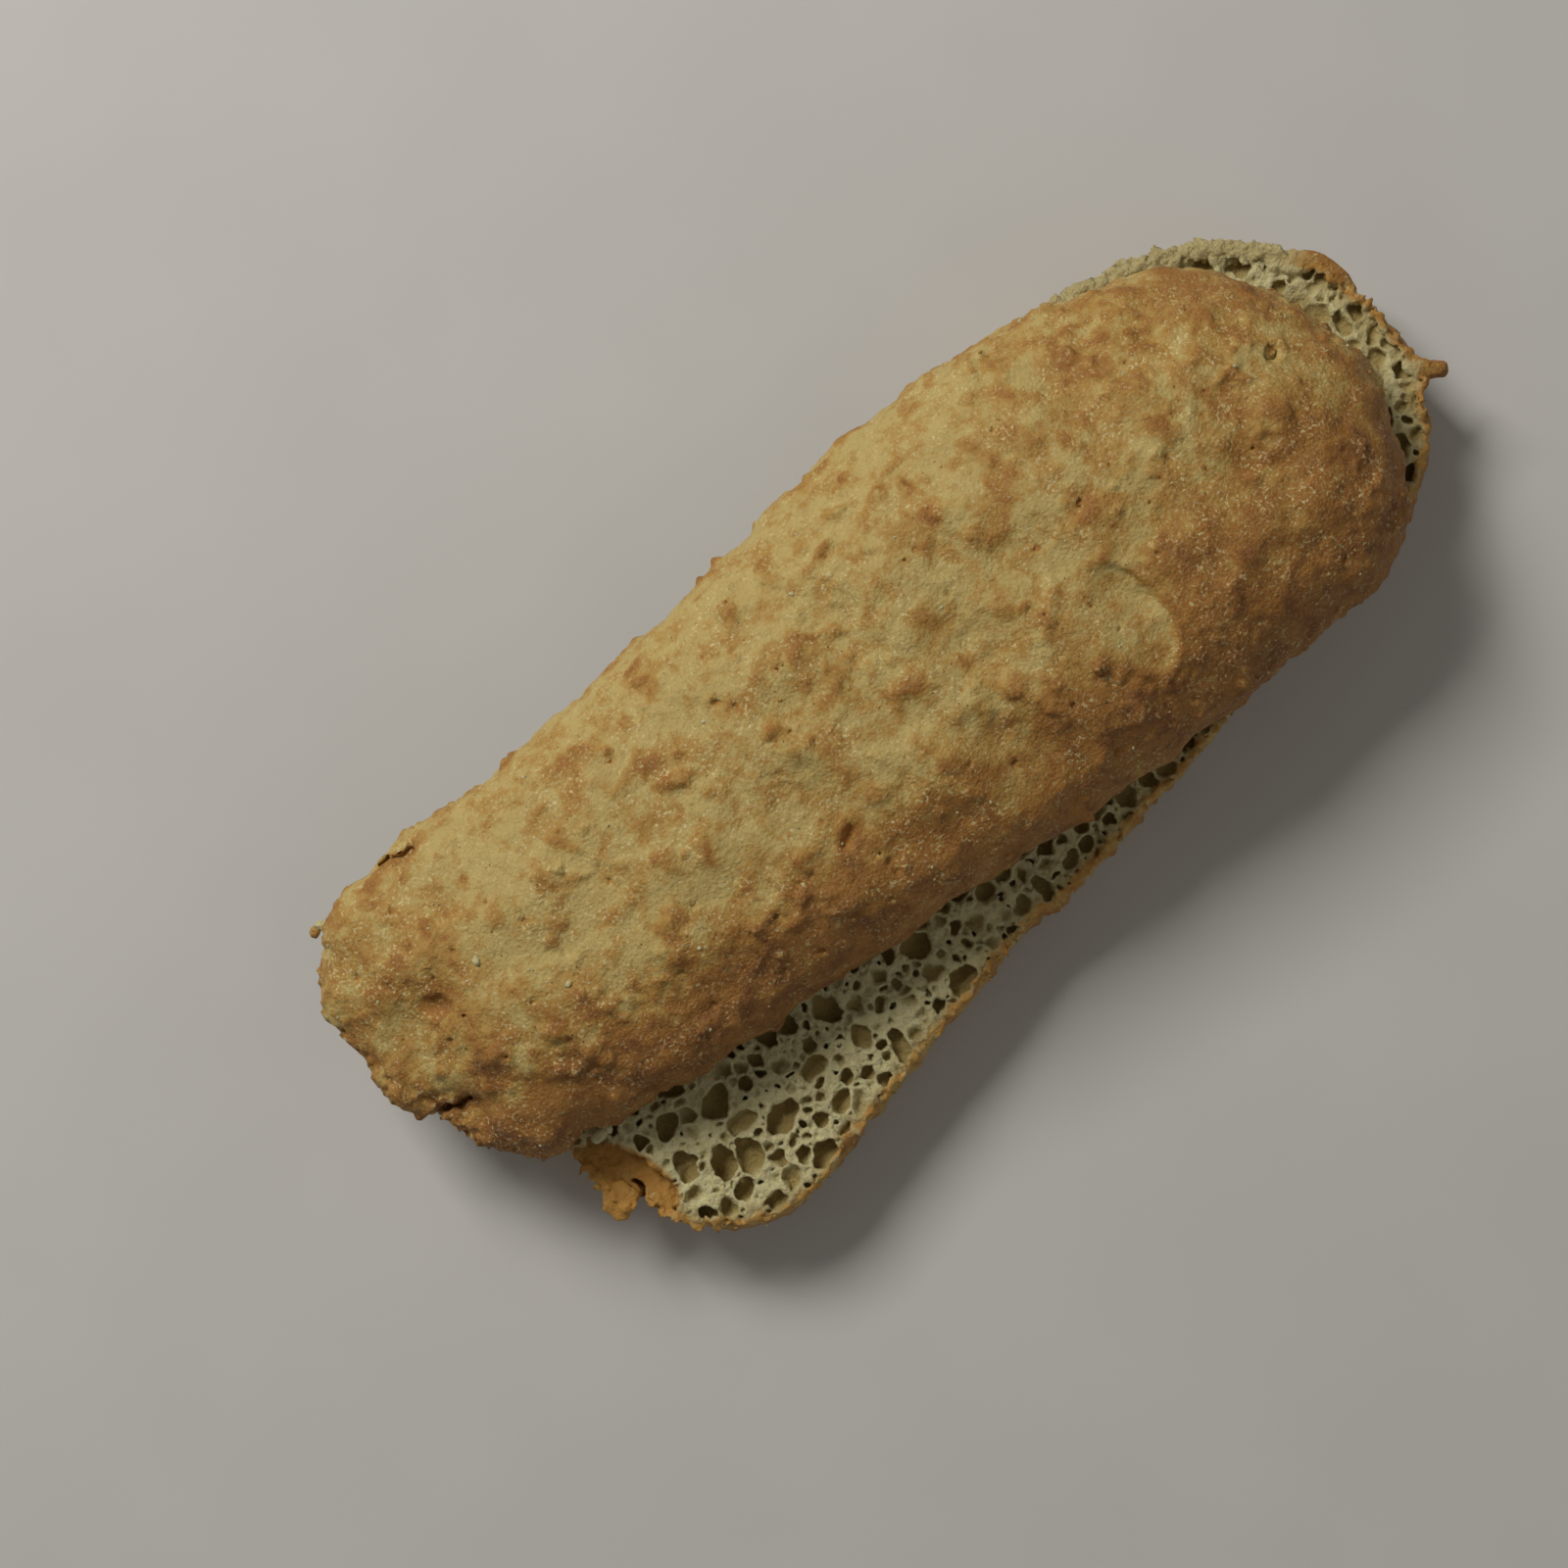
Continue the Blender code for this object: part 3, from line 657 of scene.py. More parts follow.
def pinholes():
    """Middle and radius of each tiny pit, in the top half's own length and width."""
    rng = random.Random(83)
    found = []
    for _ in range(PINHOLES):
        turn, out = rng.uniform(0, 2 * pi), sqrt(rng.random())
        found.append((108 * out * cos(turn), 36 * out * sin(turn), 0.32 + 0.4 * rng.random() ** 2))
    return found


def top_field():
    field = Field("loaf_top")
    carried_past_cut(field, TOP_BELLY, TOP_TUCK, 1)
    rough_rim(field, 1, 71, FRAY)
    sink_past_tears(field)
    skin = copy_of(field)
    crumb_foam(field, skin, 1, 81, TOP_PASSES, (), TOP_CRUST)
    tiny = tuple((x, y, r, 0.9 * r, 0.9, 0) for x, y, r in pinholes())
    for along, across, length, width, deep, turn in CRATERS + tiny:
        x, y = on_top(along, across)
        z = skin.roof_at((x, y))
        axes = turned(radians(turn) + TOP_TURN)
        field.carve((x, y, z + 0.15), (length, width, deep), axes, (along, across, 1, 0.1))
    open_tears(field, skin)
    cut_through(field, 1, top_ragged, skin)
    return field, skin


def top_ragged(x, y):
    return 0.35 * np.abs(plan_noise(x, y, 3.2, 64)) + 0.25 * np.abs(plan_noise(x, y, 1.5, 65))


# ---- skin relief

# Rough scabs of the top crust: along, across, radius, number of knobs.
SCABS = (
    (60.8, -10.3, 3.2, 9),
    (57.8, 2.6, 3.0, 6),
    (-21.9, 15.4, 3.4, 9),
    (-16.5, 25.5, 3.0, 6),
    (-80.1, -12.9, 3.6, 9),
    (-71.3, 10.9, 3.6, 9),
    (-59.2, -14.8, 4.0, 9),
    (-104.0, -12.0, 5.0, 9),
    (38.1, -4.7, 2.6, 6),
    (36.0, -21.0, 2.4, 5),
    (-44.0, -24.0, 4.0, 7),
    (28.0, 22.0, 3.0, 5),
)
BLISTER = (47.0, -16.5, 6.5, 12.3, radians(-15))  # middle, half sizes, where its lip faces
BLISTER_FLOOR = (0.16, 0.54)  # depth all over, and more of it towards the lip
BLISTER_LIP = (0.38, 0.08)  # height in millimetres, width as a share of the half sizes
KNOBS = {1: 420, -1: 300}  # seeded lumps of the top and the bottom half
CELL = 4.0  # of the bins that find near points


class Bins:
    """Finds the points near a place."""

    def __init__(self, points):
        key = np.floor(points / CELL).astype(np.int64)
        self.order = np.lexsort((key[:, 2], key[:, 1], key[:, 0]))
        ordered = key[self.order]
        fresh = np.any(np.diff(ordered, axis=0), axis=1)
        starts = np.concatenate([[0], np.nonzero(fresh)[0] + 1])
        ends = np.concatenate([starts[1:], [len(ordered)]])
        self.spans = {tuple(ordered[a]): (a, b) for a, b in zip(starts, ends)}

    def near(self, centre, reach):
        low, high = (np.floor((centre + way * reach) / CELL).astype(int) for way in (-1, 1))
        found = []
        for i in range(low[0], high[0] + 1):
            for j in range(low[1], high[1] + 1):
                for k in range(low[2], high[2] + 1):
                    if (i, j, k) in self.spans:
                        a, b = self.spans[(i, j, k)]
                        found.append(self.order[a:b])
        return np.concatenate(found) if found else np.zeros(0, int)


def scattered_knobs(points, normals, usable, count, seed):
    """Seeded lumps at random places of the skin: place, axes, radii and rise of each."""
    rng = np.random.default_rng(seed)
    places = rng.choice(np.nonzero(usable)[0], count)
    knobs = []
    for place in places:
        size = 0.7 + 2.3 * rng.random() ** 2.4
        rise = size * rng.uniform(0.08, 0.26)
        width, spin = size * rng.uniform(0.5, 0.95), rng.uniform(0, 6.3)
        knobs.append(knob(points[place], normals[place], size, width, rise, spin))
    return knobs


def knob(place, normal, length, width, rise, spin):
    side = np.cross(normal, (0.3, 0.9, 0.31))
    side /= np.linalg.norm(side)
    other = np.cross(normal, side)
    u = cos(spin) * side + sin(spin) * other
    v = cos(spin) * other - sin(spin) * side
    return place, np.array([u, v, normal]), (length, width, 2 * length), rise


def scab_knobs(points, normals, along, across):
    """Clusters of small hard knobs at the named scabs."""
    rng = np.random.default_rng(7)
    knobs = []
    for x, y, radius, count in SCABS:
        for _ in range(count):
            turn, out = rng.uniform(0, 6.3), radius * sqrt(rng.random())
            place = np.hypot(along - x - out * cos(turn), across - y - out * sin(turn)).argmin()
            size = rng.uniform(0.8, 1.7)
            width, spin = size * rng.uniform(0.6, 0.9), rng.uniform(0, 6.3)
            knobs.append(knob(points[place], normals[place], size, width, size * 0.62, spin))
    return knobs


def knob_relief(points, knobs, seed):
    """Rise of the knobs and where they are."""
    rise, mask = np.zeros(len(points)), np.zeros(len(points))
    warp = 0.3 * perlin(points, 1.7, seed) + 0.15 * perlin(points, 0.9, seed + 1)
    bins = Bins(points)
    for place, axes, radii, height in knobs:
        near = bins.near(place, 1.3 * radii[0])
        away = np.sqrt(((((points[near] - place) @ axes.T) / radii) ** 2).sum(axis=1)) + warp[near]
        part = 1 - smooth(0.25, 1.05, away)
        rise[near] = np.maximum(rise[near], height * part)
        mask[near] = np.maximum(mask[near], part * min(1.0, 0.5 + height))
    return rise, mask


def bumps(points, size, seed, level):
    """Soft separate bumps: what of a noise stands over a level."""
    over = np.maximum(perlin(points, size, seed) - level, 0)
    return over * over / (over + 0.12)


def skin_relief(points, seed):
    """Rise of the baked skin in millimetres along its normal, and how bumpy it is there."""
    broad = perlin(points * (0.75, 1, 1), 15.0, seed)
    soft = perlin(points, 8.0, seed + 1)
    patch = smooth(-0.35, 0.45, perlin(points, 14.0, seed + 4))
    pillow = bumps(points, 5.4, seed + 2, 0.0) * (0.5 + 0.6 * patch)
    bead = bumps(points, 3.0, seed + 3, 0.12) * (0.3 + patch)
    dent = bumps(points, 4.0, seed + 5, 0.34)
    small = perlin(points, 1.9, seed + 6)
    grain = perlin(points, 1.1, seed + 7)
    rise = 0.42 * broad + 0.34 * soft + 1.4 * pillow + 1.35 * bead - 0.9 * dent
    rise += 0.16 * small * (0.5 + patch) + 0.14 * grain - 0.45
    return rise, 1.1 * pillow + 0.8 * bead + 0.25 * soft + 0.15 * broad


def blister_frame(along, across, points):
    """Distance from the blister's middle, 1 at its edge, and how near its standing lip is."""
    u, v = (along - BLISTER[0]) / BLISTER[2], (across - BLISTER[1]) / BLISTER[3]
    egg = u / (1 - 0.16 * v)
    reach = np.hypot(egg, v) + 0.05 * perlin(points, 6.5, 97)
    facing = np.cos(np.arctan2(v, egg) - BLISTER[4])
    return reach, smooth(-0.8, -0.1, facing)


def blister_relief(along, across, points):
    """A burst bubble: a floor sunk most beside the thin lip that stands round one side."""
    reach, lip = blister_frame(along, across, points)
    depth = BLISTER_FLOOR[0] + BLISTER_FLOOR[1] * lip * smooth(0.1, 0.8, reach)
    edge = BLISTER_LIP[0] * lip * bell(reach - 1.04, BLISTER_LIP[1])
    return edge - depth * (1 - smooth(0.84, 1.0, reach))


# Tears of the crust: two ends, half width and depth of the slit, how far the crust beyond it
# sinks and how far that reaches.
TEARS = (
    ((-126.0, -9.8), (-108.5, -12.8), 0.5, 3.4, 1.3, 12.0),
    ((-97.0, 33.6), (-88.2, 31.6), 0.8, 2.6, 0.5, 2.6),
)
# Open pits of the crust: along, across, half length, half width, turn in degrees, depth, browning.
DENTS = (
    (-103.6, 5.4, 3.5, 2.6, -35, 1.1, 0.7),
    (99.7, 6.8, 2.3, 1.9, 15, 1.2, -0.2),
)
FOLD = ((39.5, -2.0), (32.5, -8.5), 1.0, 1.5)  # beside the blister: two ends, height, width


def beside_line(along, across, line):
    """Distance on each side of a short line, and 1 along it fading past its ends."""
    (x0, y0), (x1, y1) = line
    length = hypot(x1 - x0, y1 - y0)
    u, v = rotated(along - x0, across - y0, atan2(y1 - y0, x1 - x0))
    return v, smooth(-1.5, 1.5, u) * smooth(-1.5, 1.5, length - u)


def past_tear(along, across, points, tear):
    """Distance past a tear's ragged line, and 1 along it fading past its ends."""
    start, end = tear[:2]
    side, on = beside_line(along, across, (start, end))
    fray = 0.9 * perlin(points, 3.6, 61) + 0.5 * perlin(points, 1.5, 62)
    return (-side if start[1] < 0 else side) + fray, on


def tear_places(field):
    """Each tear with the distance past it and its fade over the plan of a field."""
    x, y = field.plan()
    along, across = own_top(x.ravel(), y.ravel())
    plan = np.column_stack([x.ravel(), y.ravel(), np.zeros(x.size)])
    for tear in TEARS:
        past, on = past_tear(along, across, plan, tear)
        yield tear[2:], past.reshape(x.shape)[:, :, None], on.reshape(x.shape)[:, :, None]


def sink_past_tears(field):
    """Lowers the crust beyond each tear."""
    for (_, _, sink, reach), past, on in tear_places(field):
        drop = sink * on * smooth(-0.3, 0.3, past) * (1 - smooth(0.35 * reach, reach, past))
        field.value += drop.astype(F32)


def open_tears(field, skin):
    """Cuts each tear as a thin ragged slit of a set depth below the roof."""
    z = field.axes[2].astype(F32)
    solid = skin.value < 0
    top = z[len(z) - 1 - solid[:, :, ::-1].argmax(axis=2)]
    roof = np.where(solid.any(axis=2), top, z[-1])[:, :, None]
    for (width, depth, _, _), past, on in tear_places(field):
        slit = (width - np.abs(past) - 3 * (1 - on)).astype(F32)
        field.value = soft_max(field.value, np.minimum(slit, z - roof + depth), 0.2)


def fold_relief(along, across):
    """The fold beside the blister."""
    side, on = beside_line(along, across, FOLD[:2])
    return FOLD[2] * on * bell(side, FOLD[3])


def dent_relief(along, across):
    """Depth of the open pits, and how brown their floors are; in the small pits and craters that
    browning is partly painted shade.
    """
    rise, brown = np.zeros(len(along)), np.zeros(len(along))
    # Partly real browning, partly painted shade: the floors of the small pits and craters are
    # darkened towards brown.
    for x, y, length, *_ in CRATERS + tuple(pinholes()):
        brown += 0.9 * (1 - smooth(0.7, 1.3, np.hypot(along - x, across - y) / (0.8 * length)))
    for x, y, length, width, turn, depth, browned in DENTS:
        u, v = rotated(along - x, across - y, radians(turn))
        away = np.hypot(u / length, v / width)
        rise += 0.25 * bell(away - 1.15, 0.2) - depth * (1 - smooth(0.35, 1.05, away))
        brown += browned * (1 - smooth(0.6, 1.1, away))
    return rise, brown


# ---- meshes


def mesh_of(name, points, faces):
    mesh = bpy.data.meshes.new(name)
    mesh.vertices.add(len(points))
    mesh.vertices.foreach_set("co", (points * MM).astype(F32).ravel())
    mesh.loops.add(faces.size)
    mesh.loops.foreach_set("vertex_index", faces.astype(np.int32).ravel())
    mesh.polygons.add(len(faces))
    width = faces.shape[1]
    mesh.polygons.foreach_set("loop_start", np.arange(len(faces), dtype=np.int32) * width)
    mesh.polygons.foreach_set("loop_total", np.full(len(faces), width, dtype=np.int32))
    mesh.update(calc_edges=True)
    return mesh


def points_of(mesh):
    return rows(mesh.vertices, "co").astype(float) / MM


def normals_of(mesh):
    return rows(mesh.vertex_normals, "vector").astype(float)


def move_points(mesh, points):
    mesh.vertices.foreach_set("co", (points * MM).astype(F32).ravel())
    mesh.update()


def thinned(obj, weight, faces):
    """Fewer triangles, most of them kept where weight is high, none of them fixed."""
    group = obj.vertex_groups.new(name="keep")
    levels = np.round(np.clip(weight, 0, 0.95) * 20).astype(int)
    for level in np.unique(levels):
        group.add(np.nonzero(levels == level)[0].tolist(), float(level) / 20, "REPLACE")
    modifier = obj.modifiers.new("thin", "DECIMATE")
    modifier.ratio = min(1.0, faces / (2 * len(obj.data.polygons)))
    modifier.vertex_group = "keep"
    modifier.invert_vertex_group = True
    modifier.vertex_group_factor = 1.0
    modifier.use_collapse_triangulate = True
    graph = bpy.context.evaluated_depsgraph_get()
    mesh = bpy.data.meshes.new_from_object(obj.evaluated_get(graph))
    obj.modifiers.clear()
    obj.vertex_groups.clear()
    old = obj.data
    obj.data = mesh
    bpy.data.meshes.remove(old)
    mesh.name = obj.name


def placed(name, data):
    obj = bpy.data.objects.new(name, data)
    bpy.context.scene.collection.objects.link(obj)
    return obj


def colour_points(mesh, name, *channels):
    attribute = mesh.color_attributes.new(name, "FLOAT_COLOR", "POINT")
    values = np.column_stack(list(channels) + [np.ones(len(channels[0]))])
    attribute.data.foreach_set("color", values.astype(F32).ravel())


def relief_of(points, side, seed, knobs):
    """Rise of the skin at each point."""
    raised, _ = knob_relief(points, knobs, seed + 9)
    rise = skin_relief(points, seed)[0] + raised
    if side > 0:
        along, across = own_top(*points.T[:2])
        reach, _ = blister_frame(along, across, points)
        rise = rise * (0.5 + 0.5 * smooth(0.8, 1.15, reach)) + blister_relief(along, across, points)
        rise += fold_relief(along, across) + dent_relief(along, across)[0]
    return rise


def warped_crumb(points, crumb, seed):
    """Shifts crumb sideways so that its cells turn uneven."""
    shift = np.zeros_like(points)
    for axis in (0, 1):
        wide, fine = perlin(points, 4.2, seed + axis), perlin(points, 1.7, seed + 3 + axis)
        shift[:, axis] = 0.42 * wide + 0.15 * fine
    return points + shift * crumb[:, None]


def box_mm():
    """The CAD model's box, in millimetres."""
    return [np.array(list(corner), float) / MM for corner in cad_box]


def fluffy(points, side):
    """Where torn crumb hangs over the crust of the bottom half's front end."""
    if side > 0:
        return np.zeros(len(points))
    along, across = own_bottom(points)
    end = smooth(6, 13, across) * smooth(71, 77, along)
    return end * smooth(-4.6, -2.8, points[:, 2] - CUT)


def half_loaf(name, made, side, seed):
    """One half as a finished mesh with its colour fields."""
    field, skin = made
    points, quads = field.closed_mesh()
    mesh = mesh_of(name, points, quads[:, ::-1])
    obj = placed(name, mesh)
    normals = normals_of(mesh)
    if normals[points[:, 2].argmax(), 2] < 0:
        mesh.flip_normals()
        normals = normals_of(mesh)
    depth = -skin.sample(points)
    outer = 1 - smooth(0.5, 1.1, depth)
    height = points[:, 2] - cut_level(points[:, 0], points[:, 1])
    clear = smooth(0.0, 2.0, side * height)
    usable = (depth < 0.3) & (side * height > 2.5) & ((side > 0) | (points[:, 2] > 3))
    knobs = scattered_knobs(points, normals, usable, KNOBS[side], seed + 8)
    if side > 0:
        knobs += scab_knobs(points, normals, *own_top(*points.T[:2]))
    rise = relief_of(points, side, seed, knobs)
    if side < 0:
        rise *= smooth(0.2, 3.0, points[:, 2])
    crumb = smooth(1.2, 3.0, depth)
    loose = fluffy(points, side)
    fluff = 0.2 * perlin(points, 1.3, seed + 50) + 0.12 * perlin(points, 0.7, seed + 51)
    torn = (1 + loose) * fluff * np.maximum(crumb, loose)
    moved = warped_crumb(points, crumb, seed + 60)
    moved = moved + normals * (rise * outer * clear + torn)[:, None]
    move_points(mesh, np.clip(moved, *box_mm()))
    if side > 0:
        weight = 0.1 + 0.8 * smooth(0.5, 3.0, height)
    else:
        along, across = own_top(*points.T[:2])
        bare = np.hypot(along / HIDDEN_HALF[0], across / HIDDEN_HALF[1])
        weight = 0.05 + 0.9 * smooth(0.85, 1.0, bare) * smooth(-7, -5, height)
        weight = np.maximum(weight, 0.6 * outer * smooth(0.3, 1.5, points[:, 2]))
    thinned(obj, weight, FACES)
    inside = np.clip(points_of(obj.data), *box_mm())
    if side < 0:
        inside[:, 2] -= inside[:, 2].min() * (1 - smooth(1.0, 6.0, inside[:, 2]))
    move_points(obj.data, inside)
    colour_half(obj.data, skin, side, seed, knobs)
    obj.data.shade_smooth()
    return obj


def colour_half(mesh, skin, side, seed, knobs):
    """Where crumb, browning and flour lie, and how deep the crumb is, with painted shade on the top
    crust's flank away from the key light, in its small pits and, by that depth, in the crumb's
    cells.
    """
    points = points_of(mesh)
    normals = normals_of(mesh)
    depth = -skin.sample(points)
    height = side * (points[:, 2] - cut_level(points[:, 0], points[:, 1]))
    crumb = smooth(0.8, 1.8, depth + 0.4 * perlin(points, 2.4, seed + 30))
    _, mask = knob_relief(points, knobs, seed + 9)
    relief, bumpy = skin_relief(points, seed)
    wide = perlin(points, 22.0, seed + 33)
    brown = 0.62 * smooth(-0.05, 0.7, bumpy) + 0.18 * mask + 0.4 * perlin(points, 9.0, seed + 31)
    brown += 0.3 * perlin(points, 4.2, seed + 36)
    up = np.clip(normals[:, 2] * side, 0, 1)
    flour = smooth(-0.2, 0.6, perlin(points, 8.0, seed + 32) - 0.5 * relief)
    if side > 0:
        along, across = own_top(*points.T[:2])
        reach, lip = blister_frame(along, across, points)
        # Painted shade, partly real browning: the terms that grow as across falls below zero make
        # the crust browner on the flank where across is negative, the side away from the key light.
        # They stand for that flank's shade as well as its deeper baking. The terms along the length
        # alone are the crust's own tone.
        slope = smooth(-10, -36, across)
        browning_and_painted_shade = 0.25 * smooth(10, 90, along) + 0.2 * smooth(68, 104, along) + 0.85 * slope
        browning_and_painted_shade += 0.2 * smooth(35, 65, along) * smooth(4, -18, across)
        browning_and_painted_shade += 0.3 * smooth(-80, -108, along) + 0.12 * smooth(6, -14, across)
        browning_and_painted_shade += 0.85 * slope * smooth(0, -70, along)
        brown += browning_and_painted_shade + 0.25 * wide
        floor = 1 - smooth(0.85, 1.0, reach)
        brown = brown * (1 - 0.7 * floor) + 0.42 * lip * bell(reach - 1.05, 0.08)
        flour = flour * (1 - 0.5 * floor) + 0.5 * smooth(-92, -112, along)
        # The pits' browning, partly painted shade in the small pits and craters.
        brown += dent_relief(along, across)[1]
        crust_bit = smooth(0.0, 0.35, perlin(points, 1.6, seed + 37))
        for x, y, radius, _ in SCABS:
            scab = 1 - smooth(0.45, 1.15, np.hypot(along - x, across - y) / radius)
            brown += 0.55 * scab * (1 - crust_bit)
            flour = flour + 0.7 * scab * crust_bit
        for tear in TEARS:
            past, on = past_tear(along, across, points * (1, 1, 0), tear)
            brown += 0.9 * on * bell(past, 1.3)
        crumb *= 1 - smooth(2.2, 4.0, height)
        amber = 0.6 * dent_relief(along, across)[1] * smooth(0.2, 0.8, depth)
    else:
        brown += 0.3 + 0.15 * wide
        along, across = own_bottom(points)
        bare = bare_zone(along, across)
        crumb *= 1 - bare * (1 - smooth(6.2, 8.0, depth))
        crumb = np.maximum(crumb, fluffy(points, side))
        nub, flake = (np.hypot((along - x) / a, (across - y) / b) for x, y, a, b in BROWNED)
        scab = smooth(0, 0.3, 1 - np.minimum(nub, flake)) * smooth(-0.1, 0.3, -depth)
        crumb *= 1 - scab
        brown += 0.75 * scab
        rim = smooth(-3.0, -0.5, -height)
        brown = brown * (1 - 0.4 * rim) + 0.15 * rim
        bits = smooth(0.1, 0.5, perlin(points, 2.6, seed + 35))
        crumb = np.maximum(crumb, 0.7 * rim * bits * (1 - scab) * (1 - bare))
        brown = brown * (1 - bare) + 0.5 * bare
        flour *= 1 - bare
        amber = np.maximum(0.85 * bare, 0.55 * rim * (1 - scab))
        amber = np.maximum(amber, 0.85 * crumb * smooth(80, 104, along))
    brown = np.clip(brown, 0, 1.3)
    # Painted shade: deep is 1 where the crumb lies well below the cut, and it darkens the floors of
    # the crumb's cells.
    deep = smooth(0.7, 3.4, height + 0.5 * perlin(points, 4.0, seed + 34))
    near_crust = 1 - smooth(1.5, 4.5, depth)
    colour_points(mesh, "bread", crumb, brown, flour * (0.35 + 0.65 * up))
    colour_points(mesh, "inside", deep, near_crust, np.clip(amber, 0, 1))


def bare_zone(along, across):
    """1 where the crumb has torn away behind the flap."""
    u, v = rotated(along - BARE[0], across - BARE[1], BARE_TURN)
    u, v = u / (BARE_HALF[0] + 1), v / (BARE_HALF[1] + 1.4)
    tongue = np.hypot(along - TONGUE[1][0], across - TONGUE[1][1]) / 6.5
    return 1 - smooth(0.85, 1.1, np.minimum(np.hypot(u, v), tongue))


# ---- loose crumbs

# Crumbs by the top half, in its own length and width: along, across, height over the cut (0 on
# the crust), radius, stretch, turn in degrees, browning (0 on crumb from inside).
SHOWN_CRUMBS = (
    (-95.2, -34.2, 1.1, 1.5, 1.35, 10, 0.0),
    (-93.2, -34.0, 1.3, 1.1, 1.2, 60, 0.0),
    (-112.4, 30.8, 5.4, 1.25, 1.2, 40, 0.0),
    (-113.2, 31.9, 5.2, 1.0, 1.1, 80, 0.0),
    (-114.9, 31.4, 5.0, 1.15, 1.1, 20, 0.55),
    (-80.0, -6.8, 0.0, 0.6, 1.2, 10, 0.0),
    (-91.5, 7.4, 0.0, 0.75, 1.3, 60, 0.0),
)
GRAINS = 110  # tiny seeded ones on the top crust


def crumb_shape():
    """Points and triangles of a ball for one crumb."""
    work = bmesh.new()
    bmesh.ops.create_icosphere(work, subdivisions=2, radius=1.0)
    points = np.array([v.co for v in work.verts])
    faces = np.array([[v.index for v in f.verts] for f in work.faces])
    work.free()
    return points, faces


def loose_crumbs(top):
    """Crumbs of the loaf lying on its crust and clinging to its edges, as one mesh."""
    surface, normals = points_of(top.data), normals_of(top.data)
    along, across = own_top(*surface.T[:2])
    upward = np.nonzero((normals[:, 2] > 0.3) & (surface[:, 2] > CUT + 8))[0]
    ball, triangles = crumb_shape()
    rng = np.random.default_rng(23)
    points, faces, colours = [], [], []

    def add(centre, radius, stretch, turn, browning):
        lumpy = 1 + 0.4 * perlin(ball * 2.2 + 10 * rng.random(3), 1.6, 5)
        shape = ball * lumpy[:, None] * (stretch, 1, 0.8) * radius
        c, s = cos(turn), sin(turn)
        shape = shape @ np.array([[c, s, 0], [-s, c, 0], [0, 0, 1]])
        faces.append(triangles + len(ball) * len(points))
        points.append(shape + centre)
        colours.append(np.tile((0.0 if browning else 0.75, browning + 0.1, 0.6), (len(ball), 1)))

    for x, y, low, radius, stretch, turn, browning in SHOWN_CRUMBS:
        centre = np.array([*on_top(x, y), CUT + low])
        if not low:
            under = surface[upward[np.hypot(along[upward] - x, across[upward] - y).argmin()]]
            centre[2] = under[2] + 0.3 * radius
        add(centre, radius, stretch, radians(turn), browning)
    for place in rng.choice(upward, GRAINS):
        radius = 0.16 + 0.3 * rng.random() ** 3
        stretch, turn = rng.uniform(1, 1.5), rng.uniform(0, 3)
        add(surface[place], radius, stretch, turn, 0.0 if rng.random() < 0.75 else 0.5)
    mesh = mesh_of("crumbs", np.clip(np.vstack(points), *box_mm()), np.vstack(faces))
    colour_points(mesh, "bread", *np.vstack(colours).T)
    colour_points(mesh, "inside", *np.zeros((3, len(ball) * len(points))))
    mesh.shade_smooth()
    return placed("crumbs", mesh)


# ---- materials


class Nodes:
    """Short calls for building a material's nodes."""

    def __init__(self, name):
        self.material = bpy.data.materials.new(name)
        self.material.use_nodes = True
        self.tree = self.material.node_tree
        self.place = self.add("ShaderNodeTexCoord").outputs["Object"]

    def add(self, kind, inputs=(), **settings):
        """A new node whose sockets, given as pairs, are linked or hold a constant."""
        node = self.tree.nodes.new(kind)
        for key, value in settings.items():
            setattr(node, key, value)
        for key, value in inputs:
            self.feed(node.inputs[key], value)
        return node

    def feed(self, socket, value):
        if isinstance(value, bpy.types.NodeSocket):
            self.tree.links.new(value, socket)
        else:
            socket.default_value = (*value, 1.0) if socket.type == "RGBA" else value

    def channels(self, name):
        """The three fields of a point colour attribute."""
        colour = self.add("ShaderNodeAttribute", attribute_name=name).outputs["Color"]
        return self.add("ShaderNodeSeparateColor", [("Color", colour)]).outputs[:3]

    def noise(self, size_mm, detail=3.0, rough=0.55, distortion=0.0):
        return self.add("ShaderNodeTexNoise", (
            ("Vector", self.place), ("Scale", 1000 / size_mm), ("Detail", detail),
            ("Roughness", rough), ("Distortion", distortion),
        )).outputs["Fac"]

    def cells(self, size_mm):
        inputs = ("Vector", self.place), ("Scale", 1000 / size_mm)
        return self.add("ShaderNodeTexVoronoi", inputs).outputs["Distance"]

    def ramp(self, value, low, high):
        inputs = ("Value", value), ("From Min", low), ("From Max", high)
        node = self.add("ShaderNodeMapRange", inputs, interpolation_type="SMOOTHSTEP")
        return node.outputs["Result"]

    def math(self, operation, a, b=0.0):
        return self.add("ShaderNodeMath", ((0, a), (1, b)), operation=operation).outputs[0]

    def times(self, a, b):
        return self.math("MULTIPLY", a, b)

    def plus(self, a, b):
        return self.math("ADD", a, b)

    def centred(self, size_mm, *settings):
        """A noise of both signs."""
        return self.plus(self.noise(size_mm, *settings), -0.5)

    def mix(self, factor, a, b):
        return self.add("ShaderNodeMix", ((0, factor), (6, a), (7, b)), data_type="RGBA").outputs[2]

    def bump(self, height, distance_mm, strength, after=None):
        inputs = [("Height", height), ("Distance", distance_mm * MM), ("Strength", strength)]
        inputs += [("Normal", after)] if after is not None else []
        return self.add("ShaderNodeBump", inputs).outputs["Normal"]

    def surface(self, *inputs):
        """The material, once its surface's sockets are fed from pairs of name and value."""
        for key, value in inputs:
            self.feed(self.tree.nodes["Principled BSDF"].inputs[key], value)
        return self.material


